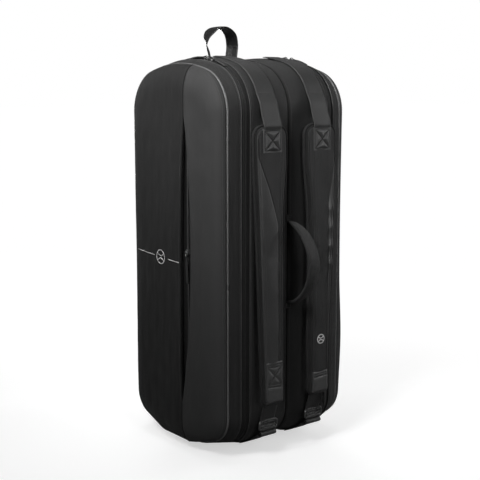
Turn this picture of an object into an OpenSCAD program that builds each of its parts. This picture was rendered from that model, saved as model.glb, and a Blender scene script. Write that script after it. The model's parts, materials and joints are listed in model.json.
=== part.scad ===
// Racket tournament bag standing on its end: two racket compartments round a
// padded divider, each closed by a zipped side lid with a gaping pocket, plus
// two shoulder straps, a carry handle and a hanging loop.
//
// Frame: X runs across the compartments (lid A at -X, lid B at +X), Y runs
// through the bag's depth (the strap face looks along -Y), Z is up. The origin
// is the centre of the flat base patch.

/* [Body] */
// Height of the body, from the floor to the top of the crown
bag_h = 760; // [745:5:775]
// Depth of the body, from the strap face to the far face
bag_d = 318; // [312:2:324]
// Distance from the bag's middle to the outside of each side lid
lid_face_x = 164; // [160:1:168]
// Distance from the bag's middle to each piping cord
piping_x = 137.6; // [136:0.2:139]
// Distance from the bag's middle to the centre line of each main zip
zip_x = 104; // [102:0.5:106]

/* [Outline] */
// Radius of the two upper corners
corner_r = 96; // [92:1:100]
// Half length of the flat that the bag stands on
foot_half = 45; // [42:1:48]
// Radius of the two lower corners
toe_r = 70; // [68:1:72]

/* [Walls] */
// Thickness of the outer fabric
shell_t = 1.6; // [1.2:0.1:1.8]
// Thickness of the foam inside the gussets
foam_t = 4.5; // [3:0.5:5]
// Thickness of the linings
lining_t = 0.8; // [0.5:0.1:1]
// Depth of the valley at the centre seam
valley = 5.5; // [4:0.5:6]
// How far the gusset falls away at the piping
shoulder = 14; // [12:1:15]

/* [Straps] */
// Distance from the bag's middle to the middle of each strap
strap_x = 58; // [57:0.5:59]
// Width of the strap webbing
webbing_w = 40; // [38:1:42]
// Thickness of the strap padding
pad_t = 12; // [8:1:14]
// Outward lean of the hanging strap pads, in degrees
pad_lean = 1.3; // [1:0.1:2]

/* [Zips] */
// Where the sliders of main zip A meet, front to back
meet_a = -47; // [-50:1:-40]
// Where the sliders of main zip B meet, front to back
meet_b = -33; // [-45:1:-25]
// Length of a main zip's pull tab
pull_l = 44; // [36:1:48]
// Height of the side pocket's slider
pocket_slider_z = 395; // [380:5:410]

/* [Hidden] */
$fn = 64;

half_d = bag_d / 2;
patch_t = 1.6;
web_t = 1.6;
skin_gap = 0.3;
crest_x = 74;

// The outline is a chain of arcs joined by three straight runs. Neighbouring
// arcs meet on a line with a whole-number slope, so their ends match exactly.
CROWN_DIR = [7, 24];
HEEL_DIR = [8, 15];
corner_y = half_d - corner_r;
crown_r = corner_r + corner_y * norm(CROWN_DIR) / CROWN_DIR[0];
crown_z = bag_h - crown_r;
corner_z = crown_z + corner_y * CROWN_DIR[1] / CROWN_DIR[0];
toe_y = half_d - toe_r;
toe_reach = toe_y - foot_half;
heel_r = toe_r + toe_reach * norm(HEEL_DIR) / HEEL_DIR[0];
heel_z = patch_t + heel_r;
toe_z = heel_z - toe_reach * HEEL_DIR[1] / HEEL_DIR[0];

// Each arc: centre, radius, its two end directions, and the turn and span, in
// degrees from +Y towards +Z, of a wider arc that it is cut from
CROWN = [[0, crown_z], crown_r, CROWN_DIR, [-CROWN_DIR[0], CROWN_DIR[1]], 0, 180];
CORNERS = [
    [[corner_y, corner_z], corner_r, [25, 0], CROWN_DIR, 0, 90],
    [[-corner_y, corner_z], corner_r, [-CROWN_DIR[0], CROWN_DIR[1]], [-25, 0], 90, 90]
];
TOES = [
    [[-toe_y, toe_z], toe_r, [-25, 0], -HEEL_DIR, 180, 90],
    [[toe_y, toe_z], toe_r, [HEEL_DIR[0], -HEEL_DIR[1]], [25, 0], 270, 90]
];
HEELS = [
    [[-foot_half, heel_z], heel_r, -HEEL_DIR, [0, -25], 180, 90],
    [[foot_half, heel_z], heel_r, [0, -25], [HEEL_DIR[0], -HEEL_DIR[1]], 270, 90]
];

// Gusset edges beside the zip
core_hem_x = zip_x - 8.5;
lid_hem_x = zip_x + 8.5;
tape_reach = 17;
tape_top = shell_t + skin_gap;
tape_t = 1.1;
coil_w = 2.8;
coil_t = 2.5;
mesh_gap = 0.3;

// Side lid: a domed panel that starts beside the piping
dome_x = piping_x + 2.6;
dome_edge = 13.4;
dome_flat = 64;
pocket_depth = 11;

// Pocket mouth: a lens between the smooth panel and the mesh panel, on a seam
// that leans a little towards the far face as it goes down
mouth_y = -45;
mouth_lean = 0.018;
mouth_gape_front = 25;
mouth_gape_back = 9;
mouth_z0 = 116;
mouth_z1 = 650;
pocket_zip_y = -48;

// Straps
strap_hinge_y = -half_d - 2;
strap_hinge_z = 650;
pad_top = 640;
pad_bottom = 112;
pad_back = -half_d - 1.6;
face_t = 1.2;
lock_y = -half_d - 6.5;
lock_z = 60;
lock_w = 47;
lock_h = 22;
lock_t = 5;

// Carry handle: an arc that bows out from the centre seam
handle_z = 375;
handle_y = -146.3;
handle_r = 78.7;
handle_t = 7;
handle_w = 25;
handle_sweep = 160;

// Hanging loop
loop_y = 57;
loop_r = 33;
loop_w = 38;
loop_pivot_z = 776;

// ---------------------------------------------------------------- helpers

// Outward bulge of the gussets at a distance x from the middle
function bulge(x) =
    abs(x) < crest_x
        ? -valley * pow((crest_x - abs(x)) / crest_x, 2)
        : -shoulder * pow((abs(x) - crest_x) / (piping_x - crest_x), 2);

// Places between two distances from the middle
function spread(x0, x1, n) = [for (i = [0:n]) x0 + (x1 - x0) * i / n];
function reversed(list) = [for (i = [len(list) - 1:-1:0]) list[i]];

// A layer that follows the gusset's bulge, depth below its surface
function layer(x0, x1, depth, t, n = 3) =
    let (xs = spread(x0, x1, n))
    concat(
        [for (x = xs) [x, bulge(x) - depth]],
        [for (x = reversed(xs)) [x, bulge(x) - depth - t]]
    );

// A domed layer: a quarter ellipse that ends in a short flat
function dome(x0, rise, edge, t, n = 8) =
    let (angles = spread(0, 90, n), reach = dome_flat - edge)
    concat(
        [for (a = angles) [x0 + rise * sin(a), reach * cos(a) - dome_flat]],
        [[x0 + rise, -dome_flat - 2], [x0 + rise - t, -dome_flat - 2]],
        [for (a = reversed(angles))
            [x0 + (rise - t) * sin(a), (reach - t) * cos(a) - dome_flat]]
    );

// Edge of the pocket's mouth at a height z, for a gape to one side of its seam
function mouth(z, gape) =
    mouth_y + mouth_lean * (corner_z - z)
        + (z <= mouth_z0 || z >= mouth_z1
            ? 0
            : gape * sin(180 * (z - mouth_z0) / (mouth_z1 - mouth_z0)));
function mouth_edge(gape, away) =
    [for (z = reversed(concat([-5], spread(mouth_z0, mouth_z1, 12), [bag_h + 5])))
        [mouth(z, gape) + away, z]];

// Builds for the +X side; side A and the left strap are its mirror image
module on_side(side) {
    if (side == "a" || side == "l") mirror([1, 0, 0]) children();
    else children();
}

// The pie-shaped region that holds one arc of the outline
module wedge(arc) {
    far = 20;
    polygon([arc[0], arc[0] + far * arc[2], arc[0] + far * arc[3]]);
}

// Carries a profile (x, outwards) round an arc of the outline
module round_arc(arc) {
    intersection() {
        translate([0, arc[0][0], arc[0][1]])
            rotate(120, [1, 1, 1])
                rotate([0, 0, arc[4]])
                    rotate_extrude(angle = arc[5], $fn = 96)
                        translate([arc[1], 0])
                            mirror([1, -1])
                                children();
        in_side_plane(-bag_d, bag_d) wedge(arc);
    }
}

// Carries a profile up the strap face or the far face
module up_side(sign, z0, z1) {
    translate([0, sign * half_d, z0])
        linear_extrude(z1 - z0)
            mirror([0, sign < 0 ? 1 : 0])
                children();
}

// Carries a profile over the top, down both faces and round the lower corners
module round_upper() {
    for (arc = concat([CROWN], CORNERS, TOES)) round_arc(arc) children();
    for (sign = [-1, 1]) up_side(sign, toe_z, corner_z) children();
}

// Carries a profile along the bottom between the lower corners
module round_lower() {
    for (arc = HEELS) round_arc(arc) children();
    translate([0, -foot_half, patch_t])
        rotate([-90, 0, 0])
            linear_extrude(2 * foot_half)
                children();
}

module round_all() {
    round_upper() children();
    round_lower() children();
}

// Draws a shape in the Y-Z plane and gives it a thickness along X
module in_side_plane(x0, x1) {
    translate([x0, 0, 0])
        rotate(120, [1, 1, 1])
            linear_extrude(x1 - x0)
                children();
}

// A flat plate between two distances from the middle, inset from the outline
module plate(x0, x1, inset) {
    half = [
        [half_d - inset, corner_z], [half_d - inset, toe_z], [toe_y, toe_z],
        [foot_half, heel_z], [foot_half, patch_t + inset]
    ];
    in_side_plane(x0, x1)
        polygon(concat(
            [[0, crown_z], [corner_y, corner_z]],
            half,
            [for (p = reversed(half)) [-p[0], p[1]]],
            [[-corner_y, corner_z]]
        ));
    for (arc = concat([CROWN], CORNERS, TOES, HEELS))
        in_side_plane(x0, x1)
            intersection() {
                translate(arc[0]) circle(arc[1] - inset);
                wedge(arc);
            }
}

// Draws a shape in the X-Z plane and gives it a thickness along Y
module in_face_plane(y0, y1) {
    translate([0, y1, 0])
        rotate([90, 0, 0])
            linear_extrude(y1 - y0)
                children();
}

// Local frame on a main zip: x across it, y along it, z out of the bag
module on_crown(y) {
    lift = bulge(zip_x - 5) - tape_top + 0.2;
    lean = asin(-y / crown_r);
    translate([zip_x, 0, crown_z])
        rotate([lean, 0, 0])
            translate([0, 0, crown_r + lift])
                children();
}

// Local frame on the pocket zip: x towards the front, y up, z out of the bag
module on_pocket() {
    translate([lid_face_x - pocket_depth + 3.8, pocket_zip_y, pocket_slider_z])
        rotate([90, 0, 90])
            children();
}

// ---------------------------------------------------------------- root body

module gusset(side) {
    color("#242426")
        on_side(side)
            round_all() polygon(layer(2, core_hem_x, 0, shell_t, 6));
}

module gusset_foam(side) {
    color("#3a3a3c")
        on_side(side)
            round_all() polygon(layer(4, 86, shell_t + 0.2, foam_t, 5));
}

module lining(side) {
    color(side == "a" ? "#8f9296" : "#2f3033")
        on_side(side)
            round_all() polygon(layer(4, 86, shell_t + foam_t + 0.4, lining_t, 5));
}

module centre_divider() {
    color("#333436")
        plate(-2.5, 2.5, valley + shell_t + foam_t + lining_t + 1.2);
}

module centre_piping() {
    color("#0d0d0e")
        round_all() translate([-1.6, -valley - 3.4]) square([3.2, 4.4]);
}

// Plastic sheets in sleeves behind the linings, under the straps
module frame_sheets() {
    color("#1c1c1e")
        for (side = ["a", "b"])
            on_side(side)
                translate([8, -half_d + 12.4, 95]) cube([76, 1.4, 550]);
}

// Hard-wearing patch that fills the seam's valley and gives the flat foot
module base_patch() {
    xs = spread(2, core_hem_x, 6);
    groove = -valley + 1.1;
    edge = [for (i = [0:5]) xs[i]];
    color("#1a1a1b")
        translate([0, -foot_half, patch_t])
            rotate([-90, 0, 0])
                linear_extrude(2 * foot_half)
                    polygon(concat(
                        [for (x = reversed(edge)) [-x, bulge(x)]],
                        [[-1.8, groove], [1.8, groove]],
                        [for (x = edge) [x, bulge(x)]],
                        [[edge[5], patch_t], [-edge[5], patch_t]]
                    ));
}

module core_tape(side) {
    color("#161617")
        on_side(side)
            round_upper() {
                polygon(layer(zip_x - tape_reach, zip_x - mesh_gap, tape_top, tape_t));
                polygon(layer(zip_x - mesh_gap - coil_w, zip_x - mesh_gap,
                              tape_top + tape_t, coil_t, 1));
            }
}

module lid_tape(side) {
    color("#161617")
        on_side(side)
            round_upper() {
                polygon(layer(zip_x + mesh_gap, zip_x + tape_reach, tape_top + 0.6, tape_t));
                polygon(layer(zip_x + mesh_gap, zip_x + mesh_gap + coil_w,
                              tape_top + 0.6 + tape_t, coil_t, 1));
            }
}

// Fabric hinge along the bottom, which stops short of the zip's ends
module hinge_strip(side) {
    half_l = foot_half + heel_r * HEEL_DIR[0] / norm(HEEL_DIR) - 9;
    color("#1f1f21")
        on_side(side)
            intersection() {
                round_lower()
                    polygon(layer(zip_x - tape_reach, lid_hem_x - 0.5, tape_top, tape_t));
                translate([0, -half_l, -5]) cube([bag_d, 2 * half_l, 50]);
            }
}

// Webbing that lies against the bag between two depths and two heights
module webbing_run(y0, y1, z0, z1, w) {
    intersection() {
        round_all() translate([strap_x - w / 2, skin_gap]) square([w, web_t]);
        translate([0, y0, z0]) cube([bag_d, y1 - y0, z1 - z0]);
    }
}

// Webbing that runs from the crown down to the top of a strap
module strap_anchor(side) {
    color("#3b3b3e")
        on_side(side)
            webbing_run(-bag_d, -22, strap_hinge_z + 1.5, bag_h + 5, webbing_w);
}

// Webbing under the bag that holds a ladder lock by its lower bar
module buckle_tab(side) {
    tab_w = webbing_w - 2;
    bar_z = lock_z - 3.6;
    color("#3b3b3e")
        on_side(side) {
            webbing_run(-bag_d, -66, -5, bar_z, tab_w);
            translate([strap_x - tab_w / 2, lock_y - 0.5, bar_z - 1.8])
                cube([tab_w, 11.6, 1.8]);
        }
}

module handle_anchors() {
    reach = handle_r * sin(handle_sweep / 2);
    color("#2b2b2d")
        for (z = [handle_z - reach, handle_z + reach])
            translate([-9, -half_d + 2.6, z - 9]) cube([18, 1.4, 18]);
}

module loop_patch() {
    color("#2b2b2d")
        intersection() {
            round_arc(CROWN)
                translate([-loop_r - 9, skin_gap]) square([2 * loop_r + 18, 1.1]);
            translate([-half_d, loop_y - 18.5, 0]) cube([bag_d, 37, bag_h + 5]);
        }
}

// ---------------------------------------------------------------- side lids

module lid_gusset(side) {
    color("#27272a")
        on_side(side)
            round_all() polygon(layer(lid_hem_x, piping_x - 2.7, 0, shell_t + 0.6, 3));
}

module lid_piping(side) {
    color("#8c8c8f")
        on_side(side)
            round_all() translate([piping_x, -dome_edge - 1]) circle(r = 2.5);
}

module lid_skin() {
    round_all() polygon(dome(dome_x, lid_face_x - dome_x, dome_edge, shell_t));
    plate(lid_face_x - shell_t, lid_face_x, dome_flat + 1);
}

// The smooth front half of a side lid
module lid_panel(side) {
    color("#303032")
        on_side(side)
            intersection() {
                lid_skin();
                in_side_plane(dome_x - 2, dome_x + 38)
                    polygon(concat(
                        mouth_edge(-mouth_gape_front, -0.4),
                        [[-half_d, -5], [-half_d, bag_h + 5]]
                    ));
            }
}

// The mesh rear half of a side lid
module lid_mesh(side) {
    color("#1d1d1f")
        on_side(side)
            intersection() {
                lid_skin();
                in_side_plane(dome_x - 2, dome_x + 38)
                    polygon(concat(
                        [[half_d, -5], [half_d, bag_h + 5]],
                        mouth_edge(mouth_gape_back, 0)
                    ));
            }
}

module lid_foam(side) {
    inner_x = lid_face_x - pocket_depth;
    color("#3a3a3c")
        on_side(side) {
            round_all() polygon(dome(piping_x + 0.4, inner_x - piping_x - 0.4, 18, 4));
            plate(inner_x - 4, inner_x, dome_flat + 1);
        }
}

module lid_lining(side) {
    inner_x = lid_face_x - pocket_depth - 5;
    color(side == "a" ? "#8f9296" : "#2f3033")
        on_side(side) {
            round_all() polygon(dome(piping_x - 3, inner_x - piping_x + 3, 23, lining_t));
            plate(inner_x - lining_t, inner_x, dome_flat + 1);
        }
}

// Zip tape across the pocket's mouth, with its coil
module pocket_zip(side) {
    tape_x = lid_face_x - pocket_depth + 1.4;
    heights = spread(mouth_z0 + 4, mouth_z1 - 4, 12);
    front = -mouth_gape_front;
    color("#101011")
        on_side(side) {
            in_side_plane(tape_x, tape_x + 1)
                polygon(concat(
                    [for (z = heights) [mouth(z, front) - 6, z]],
                    [for (z = reversed(heights)) [mouth(z, mouth_gape_back) + 6, z]]
                ));
            translate([tape_x + 1, pocket_zip_y - 2, mouth_z0 + 6])
                cube([1.2, 4, mouth_z1 - mouth_z0 - 12]);
        }
}

// A plain round emblem between two thin lines
module side_emblem() {
    emblem_y = 33;
    emblem_z = 377;
    color("#a8a8aa")
        on_side("a") {
            in_side_plane(lid_face_x + 0.05, lid_face_x + 0.5)
                translate([emblem_y, emblem_z]) {
                    difference() {
                        circle(r = 14);
                        circle(r = 12.6);
                    }
                    for (sign = [-1, 1])
                        intersection() {
                            circle(r = 13);
                            translate([0, sign * 17.5])
                                difference() {
                                    circle(r = 13);
                                    circle(r = 11.6);
                                }
                        }
                }
            for (span = [[-28, 8], [55, 117]])
                translate([lid_face_x + 0.05, span[0], emblem_z - 0.7])
                    cube([0.45, span[1] - span[0], 1.4]);
        }
}

// ---------------------------------------------------------------- zip hardware

slider_w = 9;
slider_h = 2.4;
pin_z = 4.2;

// Slider with two ears and the pin that its pull hangs on
module slider() {
    color("#9a9a9c") {
        translate([-slider_w / 2, -3, 0]) cube([slider_w, 9, slider_h]);
        translate([0, -3, 0]) cylinder(d = slider_w, h = slider_h);
        for (sign = [-1, 1])
            translate([sign * 3 - 0.6, 0, 0]) {
                translate([0, -2.2, slider_h]) cube([1.2, 4.4, pin_z - slider_h]);
                translate([0, 0, pin_z]) rotate([0, 90, 0]) cylinder(r = 2.2, h = 1.2);
            }
        translate([-3, 0, pin_z]) rotate([0, 90, 0]) cylinder(r = 0.8, h = 6);
    }
}

// Pull tab that lies along -y from its pin
module pull(length, width) {
    color("#1c1c1d")
        difference() {
            union() {
                translate([-2.2, 0, pin_z]) rotate([0, 90, 0]) cylinder(r = 1.7, h = 4.4);
                translate([-2.2, -12, pin_z - 0.6]) cube([4.4, 11, 1.2]);
                translate([-width / 2, 4 - length, pin_z - 1.1])
                    cube([width, length - 14, 2.2]);
                translate([0, 4 - length, pin_z - 1.1]) cylinder(d = width, h = 2.2);
            }
            translate([-3, 0, pin_z]) rotate([0, 90, 0]) cylinder(r = 0.9, h = 6);
        }
}

// Turns a front slider or pull about for the rear one
module facing(end) {
    rotate([0, 0, end == "rear" ? 180 : 0]) children();
}

function slider_y(side, end) =
    (side == "a" ? meet_a : meet_b) + (end == "front" ? -9 : 9);

module main_slider(side, end) {
    on_side(side) on_crown(slider_y(side, end)) facing(end) slider();
}

module main_pull(side, end) {
    on_side(side) on_crown(slider_y(side, end)) facing(end) pull(pull_l, slider_w);
}

module pocket_slider(side) {
    on_side(side) on_pocket() slider();
}

module pocket_pull(side) {
    on_side(side) on_pocket() pull(60, 7);
}

// ---------------------------------------------------------------- straps

// Places a strap part at its hanging lean, about the strap's hinge line
module leaning() {
    translate([0, strap_hinge_y, strap_hinge_z])
        rotate([-pad_lean, 0, 0])
            translate([0, -strap_hinge_y, -strap_hinge_z])
                children();
}

// Contoured strap: wide at the top, cut away beside the handle, narrow below
module pad_outline(inset = 0) {
    polygon([
        [34 + inset, pad_bottom + inset], [82 - inset, pad_bottom + inset],
        [86 - inset, 120], [89 - inset, 300], [93 - inset, 480], [96 - inset, 570],
        [96 - inset, 622], [84 - inset, pad_top - inset], [32 + inset, pad_top - inset],
        [20 + inset, 622], [20 + inset, 560], [27 + inset, 500], [28 + inset, 300],
        [30 + inset, 120]
    ]);
}

module strap_pad(side) {
    color("#202022")
        on_side(side) leaning()
            in_face_plane(pad_back - pad_t, pad_back) pad_outline();
}

module strap_face(side) {
    front = pad_back - pad_t - 0.2;
    color("#2c2c2e")
        on_side(side) leaning()
            in_face_plane(front - face_t, front) pad_outline(5);
}

// Stitched webbing at the head of the strap, its tail tab and the adjuster run
module strap_webbing(side) {
    front = pad_back - pad_t - face_t - 0.4;
    tail_z = pad_bottom - 1;
    lock_top = lock_z - 3 + lock_h;
    color("#3b3b3e")
        on_side(side) {
            leaning() {
                in_face_plane(front - web_t, front)
                    translate([strap_x - webbing_w / 2, 582]) square([webbing_w, 52]);
                in_face_plane(front - web_t, front)
                    translate([strap_x - webbing_w / 2, pad_bottom]) square([webbing_w, 44]);
                in_side_plane(strap_x - webbing_w / 2, strap_x + webbing_w / 2)
                    polygon([
                        [strap_hinge_y + 0.6, strap_hinge_z - 1], [front, pad_top + 1],
                        [front, pad_top - 7], [front - web_t, pad_top - 7],
                        [front - web_t, pad_top + 2], [strap_hinge_y - 1, strap_hinge_z - 1]
                    ]);
            }
            in_side_plane(strap_x - webbing_w / 2, strap_x + webbing_w / 2)
                polygon([
                    [lock_y + 1, lock_top + 1], [lock_y - 0.8, lock_top + 1],
                    [front - 12.2, tail_z - 3], [front - 13.8, pad_bottom + 2],
                    [front - 12.4, pad_bottom + 2], [front - 10.4, tail_z - 3]
                ]);
        }
}

module strap_emblem() {
    front = pad_back - pad_t - face_t - 0.3;
    color("#b4b4b6")
        leaning()
            in_face_plane(front - 0.5, front)
                translate([strap_x, 252])
                    difference() {
                        circle(r = 8);
                        circle(r = 6.6);
                    }
}

// Two-slot buckle, hinged on its lower bar
module ladder_lock(side) {
    slot_w = lock_w - 7;
    color("#2a2a2c")
        on_side(side)
            translate([strap_x, lock_y, lock_z - 3])
                difference() {
                    union() {
                        translate([-lock_w / 2, -lock_t / 2, 3]) cube([lock_w, lock_t, lock_h - 3]);
                        translate([-lock_w / 2, 0, 3])
                            rotate([0, 90, 0]) cylinder(d = lock_t, h = lock_w);
                    }
                    for (z = [5.6, 13.2])
                        translate([-slot_w / 2, -lock_t, z]) cube([slot_w, 2 * lock_t, 4.6]);
                }
}

// ---------------------------------------------------------------- handles

// Grab handle: an arc of padded webbing that narrows to its ends
module carry_handle() {
    reach = handle_r * sin(handle_sweep / 2) + 2;
    zs = spread(-reach, reach, 12);
    function half_w(z) = 4.5 + (handle_w / 2 - 4.5) * cos(90 * z / reach);
    color("#38383a")
        intersection() {
            translate([0, handle_y, handle_z])
                rotate(120, [1, 1, 1])
                    rotate([0, 0, 180 - handle_sweep / 2])
                        rotate_extrude(angle = handle_sweep, $fn = 96)
                            translate([handle_r - handle_t / 2, -handle_w / 2])
                                square([handle_t, handle_w]);
            in_face_plane(handle_y - 100, handle_y)
                translate([0, handle_z])
                    polygon(concat(
                        [for (z = zs) [half_w(z), z]],
                        [for (z = reversed(zs)) [-half_w(z), z]]
                    ));
        }
}

// Hanging loop: an arch of webbing with rounded feet
module top_loop() {
    foot_r = loop_w / 2 - 0.5;
    shoulder_z = loop_pivot_z + 12;
    color("#444447")
        intersection() {
            in_face_plane(loop_y - loop_w / 2, loop_y + loop_w / 2)
                difference() {
                    union() {
                        translate([0, shoulder_z]) circle(r = loop_r);
                        translate([-loop_r, shoulder_z - 40]) square([2 * loop_r, 40]);
                    }
                    translate([0, shoulder_z]) circle(r = loop_r - web_t);
                    translate([-loop_r + web_t, shoulder_z - 41])
                        square([2 * (loop_r - web_t), 41]);
                }
            in_side_plane(-loop_r - 1, loop_r + 1)
                translate([loop_y, loop_pivot_z]) {
                    circle(r = foot_r);
                    translate([-foot_r, 0]) square([2 * foot_r, 60]);
                }
        }
}

// ---------------------------------------------------------------- nodes

gusset("a");  // gusset_a
gusset("b");  // gusset_b
gusset_foam("a");  // gusset_foam_a
gusset_foam("b");  // gusset_foam_b
lining("a");  // lining_a
lining("b");  // lining_b
centre_divider();
centre_piping();
frame_sheets();
base_patch();
core_tape("a");  // zip_a_core_tape
core_tape("b");  // zip_b_core_tape
hinge_strip("a");  // hinge_strip_a
hinge_strip("b");  // hinge_strip_b
strap_anchor("l");  // strap_anchor_l
strap_anchor("r");  // strap_anchor_r
buckle_tab("l");  // buckle_tab_l
buckle_tab("r");  // buckle_tab_r
handle_anchors();
loop_patch();
lid_gusset("a");  // lid_a_gusset
lid_piping("a");  // lid_a_piping
lid_panel("a");  // lid_a_panel
lid_mesh("a");  // lid_a_mesh
lid_foam("a");  // lid_a_foam
lid_lining("a");  // lid_a_lining
lid_tape("a");  // zip_a_lid_tape
pocket_zip("a");  // pocket_a_zip
side_emblem();
lid_gusset("b");  // lid_b_gusset
lid_piping("b");  // lid_b_piping
lid_panel("b");  // lid_b_panel
lid_mesh("b");  // lid_b_mesh
lid_foam("b");  // lid_b_foam
lid_lining("b");  // lid_b_lining
lid_tape("b");  // zip_b_lid_tape
pocket_zip("b");  // pocket_b_zip
main_slider("a", "front");  // zip_a_slider_front
main_slider("a", "rear");  // zip_a_slider_rear
main_slider("b", "front");  // zip_b_slider_front
main_slider("b", "rear");  // zip_b_slider_rear
main_pull("a", "front");  // zip_a_pull_front
main_pull("a", "rear");  // zip_a_pull_rear
main_pull("b", "front");  // zip_b_pull_front
main_pull("b", "rear");  // zip_b_pull_rear
pocket_slider("a");  // pocket_a_slider
pocket_slider("b");  // pocket_b_slider
pocket_pull("a");  // pocket_a_pull
pocket_pull("b");  // pocket_b_pull
strap_pad("l");  // strap_pad_l
strap_pad("r");  // strap_pad_r
strap_face("l");  // strap_face_l
strap_face("r");  // strap_face_r
strap_webbing("l");  // strap_webbing_l
strap_webbing("r");  // strap_webbing_r
strap_emblem();
ladder_lock("l");  // ladder_lock_l
ladder_lock("r");  // ladder_lock_r
carry_handle();
top_loop();
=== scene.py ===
import json
import math

import bmesh
import bpy
import numpy as np
from mathutils import Matrix, Vector
from mathutils.bvhtree import BVHTree
from mathutils.kdtree import KDTree
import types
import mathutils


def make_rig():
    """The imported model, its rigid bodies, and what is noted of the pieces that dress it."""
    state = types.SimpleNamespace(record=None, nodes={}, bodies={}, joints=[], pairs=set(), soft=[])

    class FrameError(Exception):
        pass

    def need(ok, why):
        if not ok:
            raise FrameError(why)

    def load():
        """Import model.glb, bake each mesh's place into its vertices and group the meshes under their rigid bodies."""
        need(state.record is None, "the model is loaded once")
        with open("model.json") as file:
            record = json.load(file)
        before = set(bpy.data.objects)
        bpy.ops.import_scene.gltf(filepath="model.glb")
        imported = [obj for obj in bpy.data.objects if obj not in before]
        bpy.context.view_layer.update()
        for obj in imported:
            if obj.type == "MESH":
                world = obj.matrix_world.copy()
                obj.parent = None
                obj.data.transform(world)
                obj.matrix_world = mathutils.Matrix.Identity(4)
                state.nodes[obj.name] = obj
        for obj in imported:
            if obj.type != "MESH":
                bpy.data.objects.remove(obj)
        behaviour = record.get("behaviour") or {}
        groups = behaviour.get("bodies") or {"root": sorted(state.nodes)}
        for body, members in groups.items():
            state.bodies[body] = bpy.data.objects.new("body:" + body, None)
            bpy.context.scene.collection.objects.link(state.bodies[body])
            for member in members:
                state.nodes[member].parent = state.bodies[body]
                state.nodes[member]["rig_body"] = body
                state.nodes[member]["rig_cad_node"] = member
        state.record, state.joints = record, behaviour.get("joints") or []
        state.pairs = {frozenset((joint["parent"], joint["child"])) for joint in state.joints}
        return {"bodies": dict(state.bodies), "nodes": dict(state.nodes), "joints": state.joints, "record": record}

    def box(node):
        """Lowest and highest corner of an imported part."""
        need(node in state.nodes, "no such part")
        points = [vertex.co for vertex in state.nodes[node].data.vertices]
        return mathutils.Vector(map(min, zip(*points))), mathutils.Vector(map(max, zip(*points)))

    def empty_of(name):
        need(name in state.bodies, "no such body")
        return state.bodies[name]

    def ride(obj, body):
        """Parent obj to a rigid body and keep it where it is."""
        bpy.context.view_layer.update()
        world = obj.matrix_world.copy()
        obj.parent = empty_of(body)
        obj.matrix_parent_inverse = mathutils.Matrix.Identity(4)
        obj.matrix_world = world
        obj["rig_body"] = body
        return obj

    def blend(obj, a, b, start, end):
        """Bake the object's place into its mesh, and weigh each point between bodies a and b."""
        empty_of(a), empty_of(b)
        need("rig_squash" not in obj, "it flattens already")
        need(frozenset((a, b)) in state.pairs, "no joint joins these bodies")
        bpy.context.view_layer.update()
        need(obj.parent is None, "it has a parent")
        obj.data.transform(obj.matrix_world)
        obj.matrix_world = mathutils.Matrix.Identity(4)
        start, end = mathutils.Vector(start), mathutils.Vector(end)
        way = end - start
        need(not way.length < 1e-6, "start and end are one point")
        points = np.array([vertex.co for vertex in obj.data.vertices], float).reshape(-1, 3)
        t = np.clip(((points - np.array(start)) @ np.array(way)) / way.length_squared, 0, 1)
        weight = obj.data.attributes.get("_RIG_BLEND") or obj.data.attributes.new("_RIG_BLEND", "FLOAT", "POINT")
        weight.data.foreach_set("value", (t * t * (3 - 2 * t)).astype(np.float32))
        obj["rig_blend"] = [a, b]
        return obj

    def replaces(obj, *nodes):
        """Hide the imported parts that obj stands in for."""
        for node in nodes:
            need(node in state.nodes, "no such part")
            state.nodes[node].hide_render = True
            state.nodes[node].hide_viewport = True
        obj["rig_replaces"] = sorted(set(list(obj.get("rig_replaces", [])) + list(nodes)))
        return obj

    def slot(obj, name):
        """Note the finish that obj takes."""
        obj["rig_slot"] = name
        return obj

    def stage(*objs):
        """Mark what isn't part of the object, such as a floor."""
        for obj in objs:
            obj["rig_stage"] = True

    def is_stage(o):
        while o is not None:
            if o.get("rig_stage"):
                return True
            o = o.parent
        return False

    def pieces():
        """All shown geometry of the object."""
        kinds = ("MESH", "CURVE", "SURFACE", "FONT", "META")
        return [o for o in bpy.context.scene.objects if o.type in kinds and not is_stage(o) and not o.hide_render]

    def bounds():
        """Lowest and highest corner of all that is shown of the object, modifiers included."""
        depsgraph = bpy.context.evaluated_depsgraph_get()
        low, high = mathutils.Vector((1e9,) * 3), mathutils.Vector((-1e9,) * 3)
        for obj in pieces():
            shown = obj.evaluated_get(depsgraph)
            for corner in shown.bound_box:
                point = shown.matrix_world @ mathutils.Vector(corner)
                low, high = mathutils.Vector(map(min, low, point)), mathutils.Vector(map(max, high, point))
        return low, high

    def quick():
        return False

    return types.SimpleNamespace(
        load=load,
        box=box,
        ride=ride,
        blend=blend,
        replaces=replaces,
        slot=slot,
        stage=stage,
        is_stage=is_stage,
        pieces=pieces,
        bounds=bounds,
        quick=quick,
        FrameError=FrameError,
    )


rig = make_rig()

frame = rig.load()
cad_low, cad_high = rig.bounds()

# A racket tournament bag that stands on its end. Lengths are in metres, in the
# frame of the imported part: X across the compartments, -Y out of the strap face.
# Most parts are built for the +X side and mirrored with side = -1.

SIDES = {"a": -1, "b": 1}
HANDS = {"l": -1, "r": 1}
LININGS = {"a": "thermal_lining", "b": "plain_lining"}


def middle(node):
    """Middle of a CAD object's box."""
    low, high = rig.box(node)
    return (low + high) / 2


# ------------------------------------------------------------ sizes of the part

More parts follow.
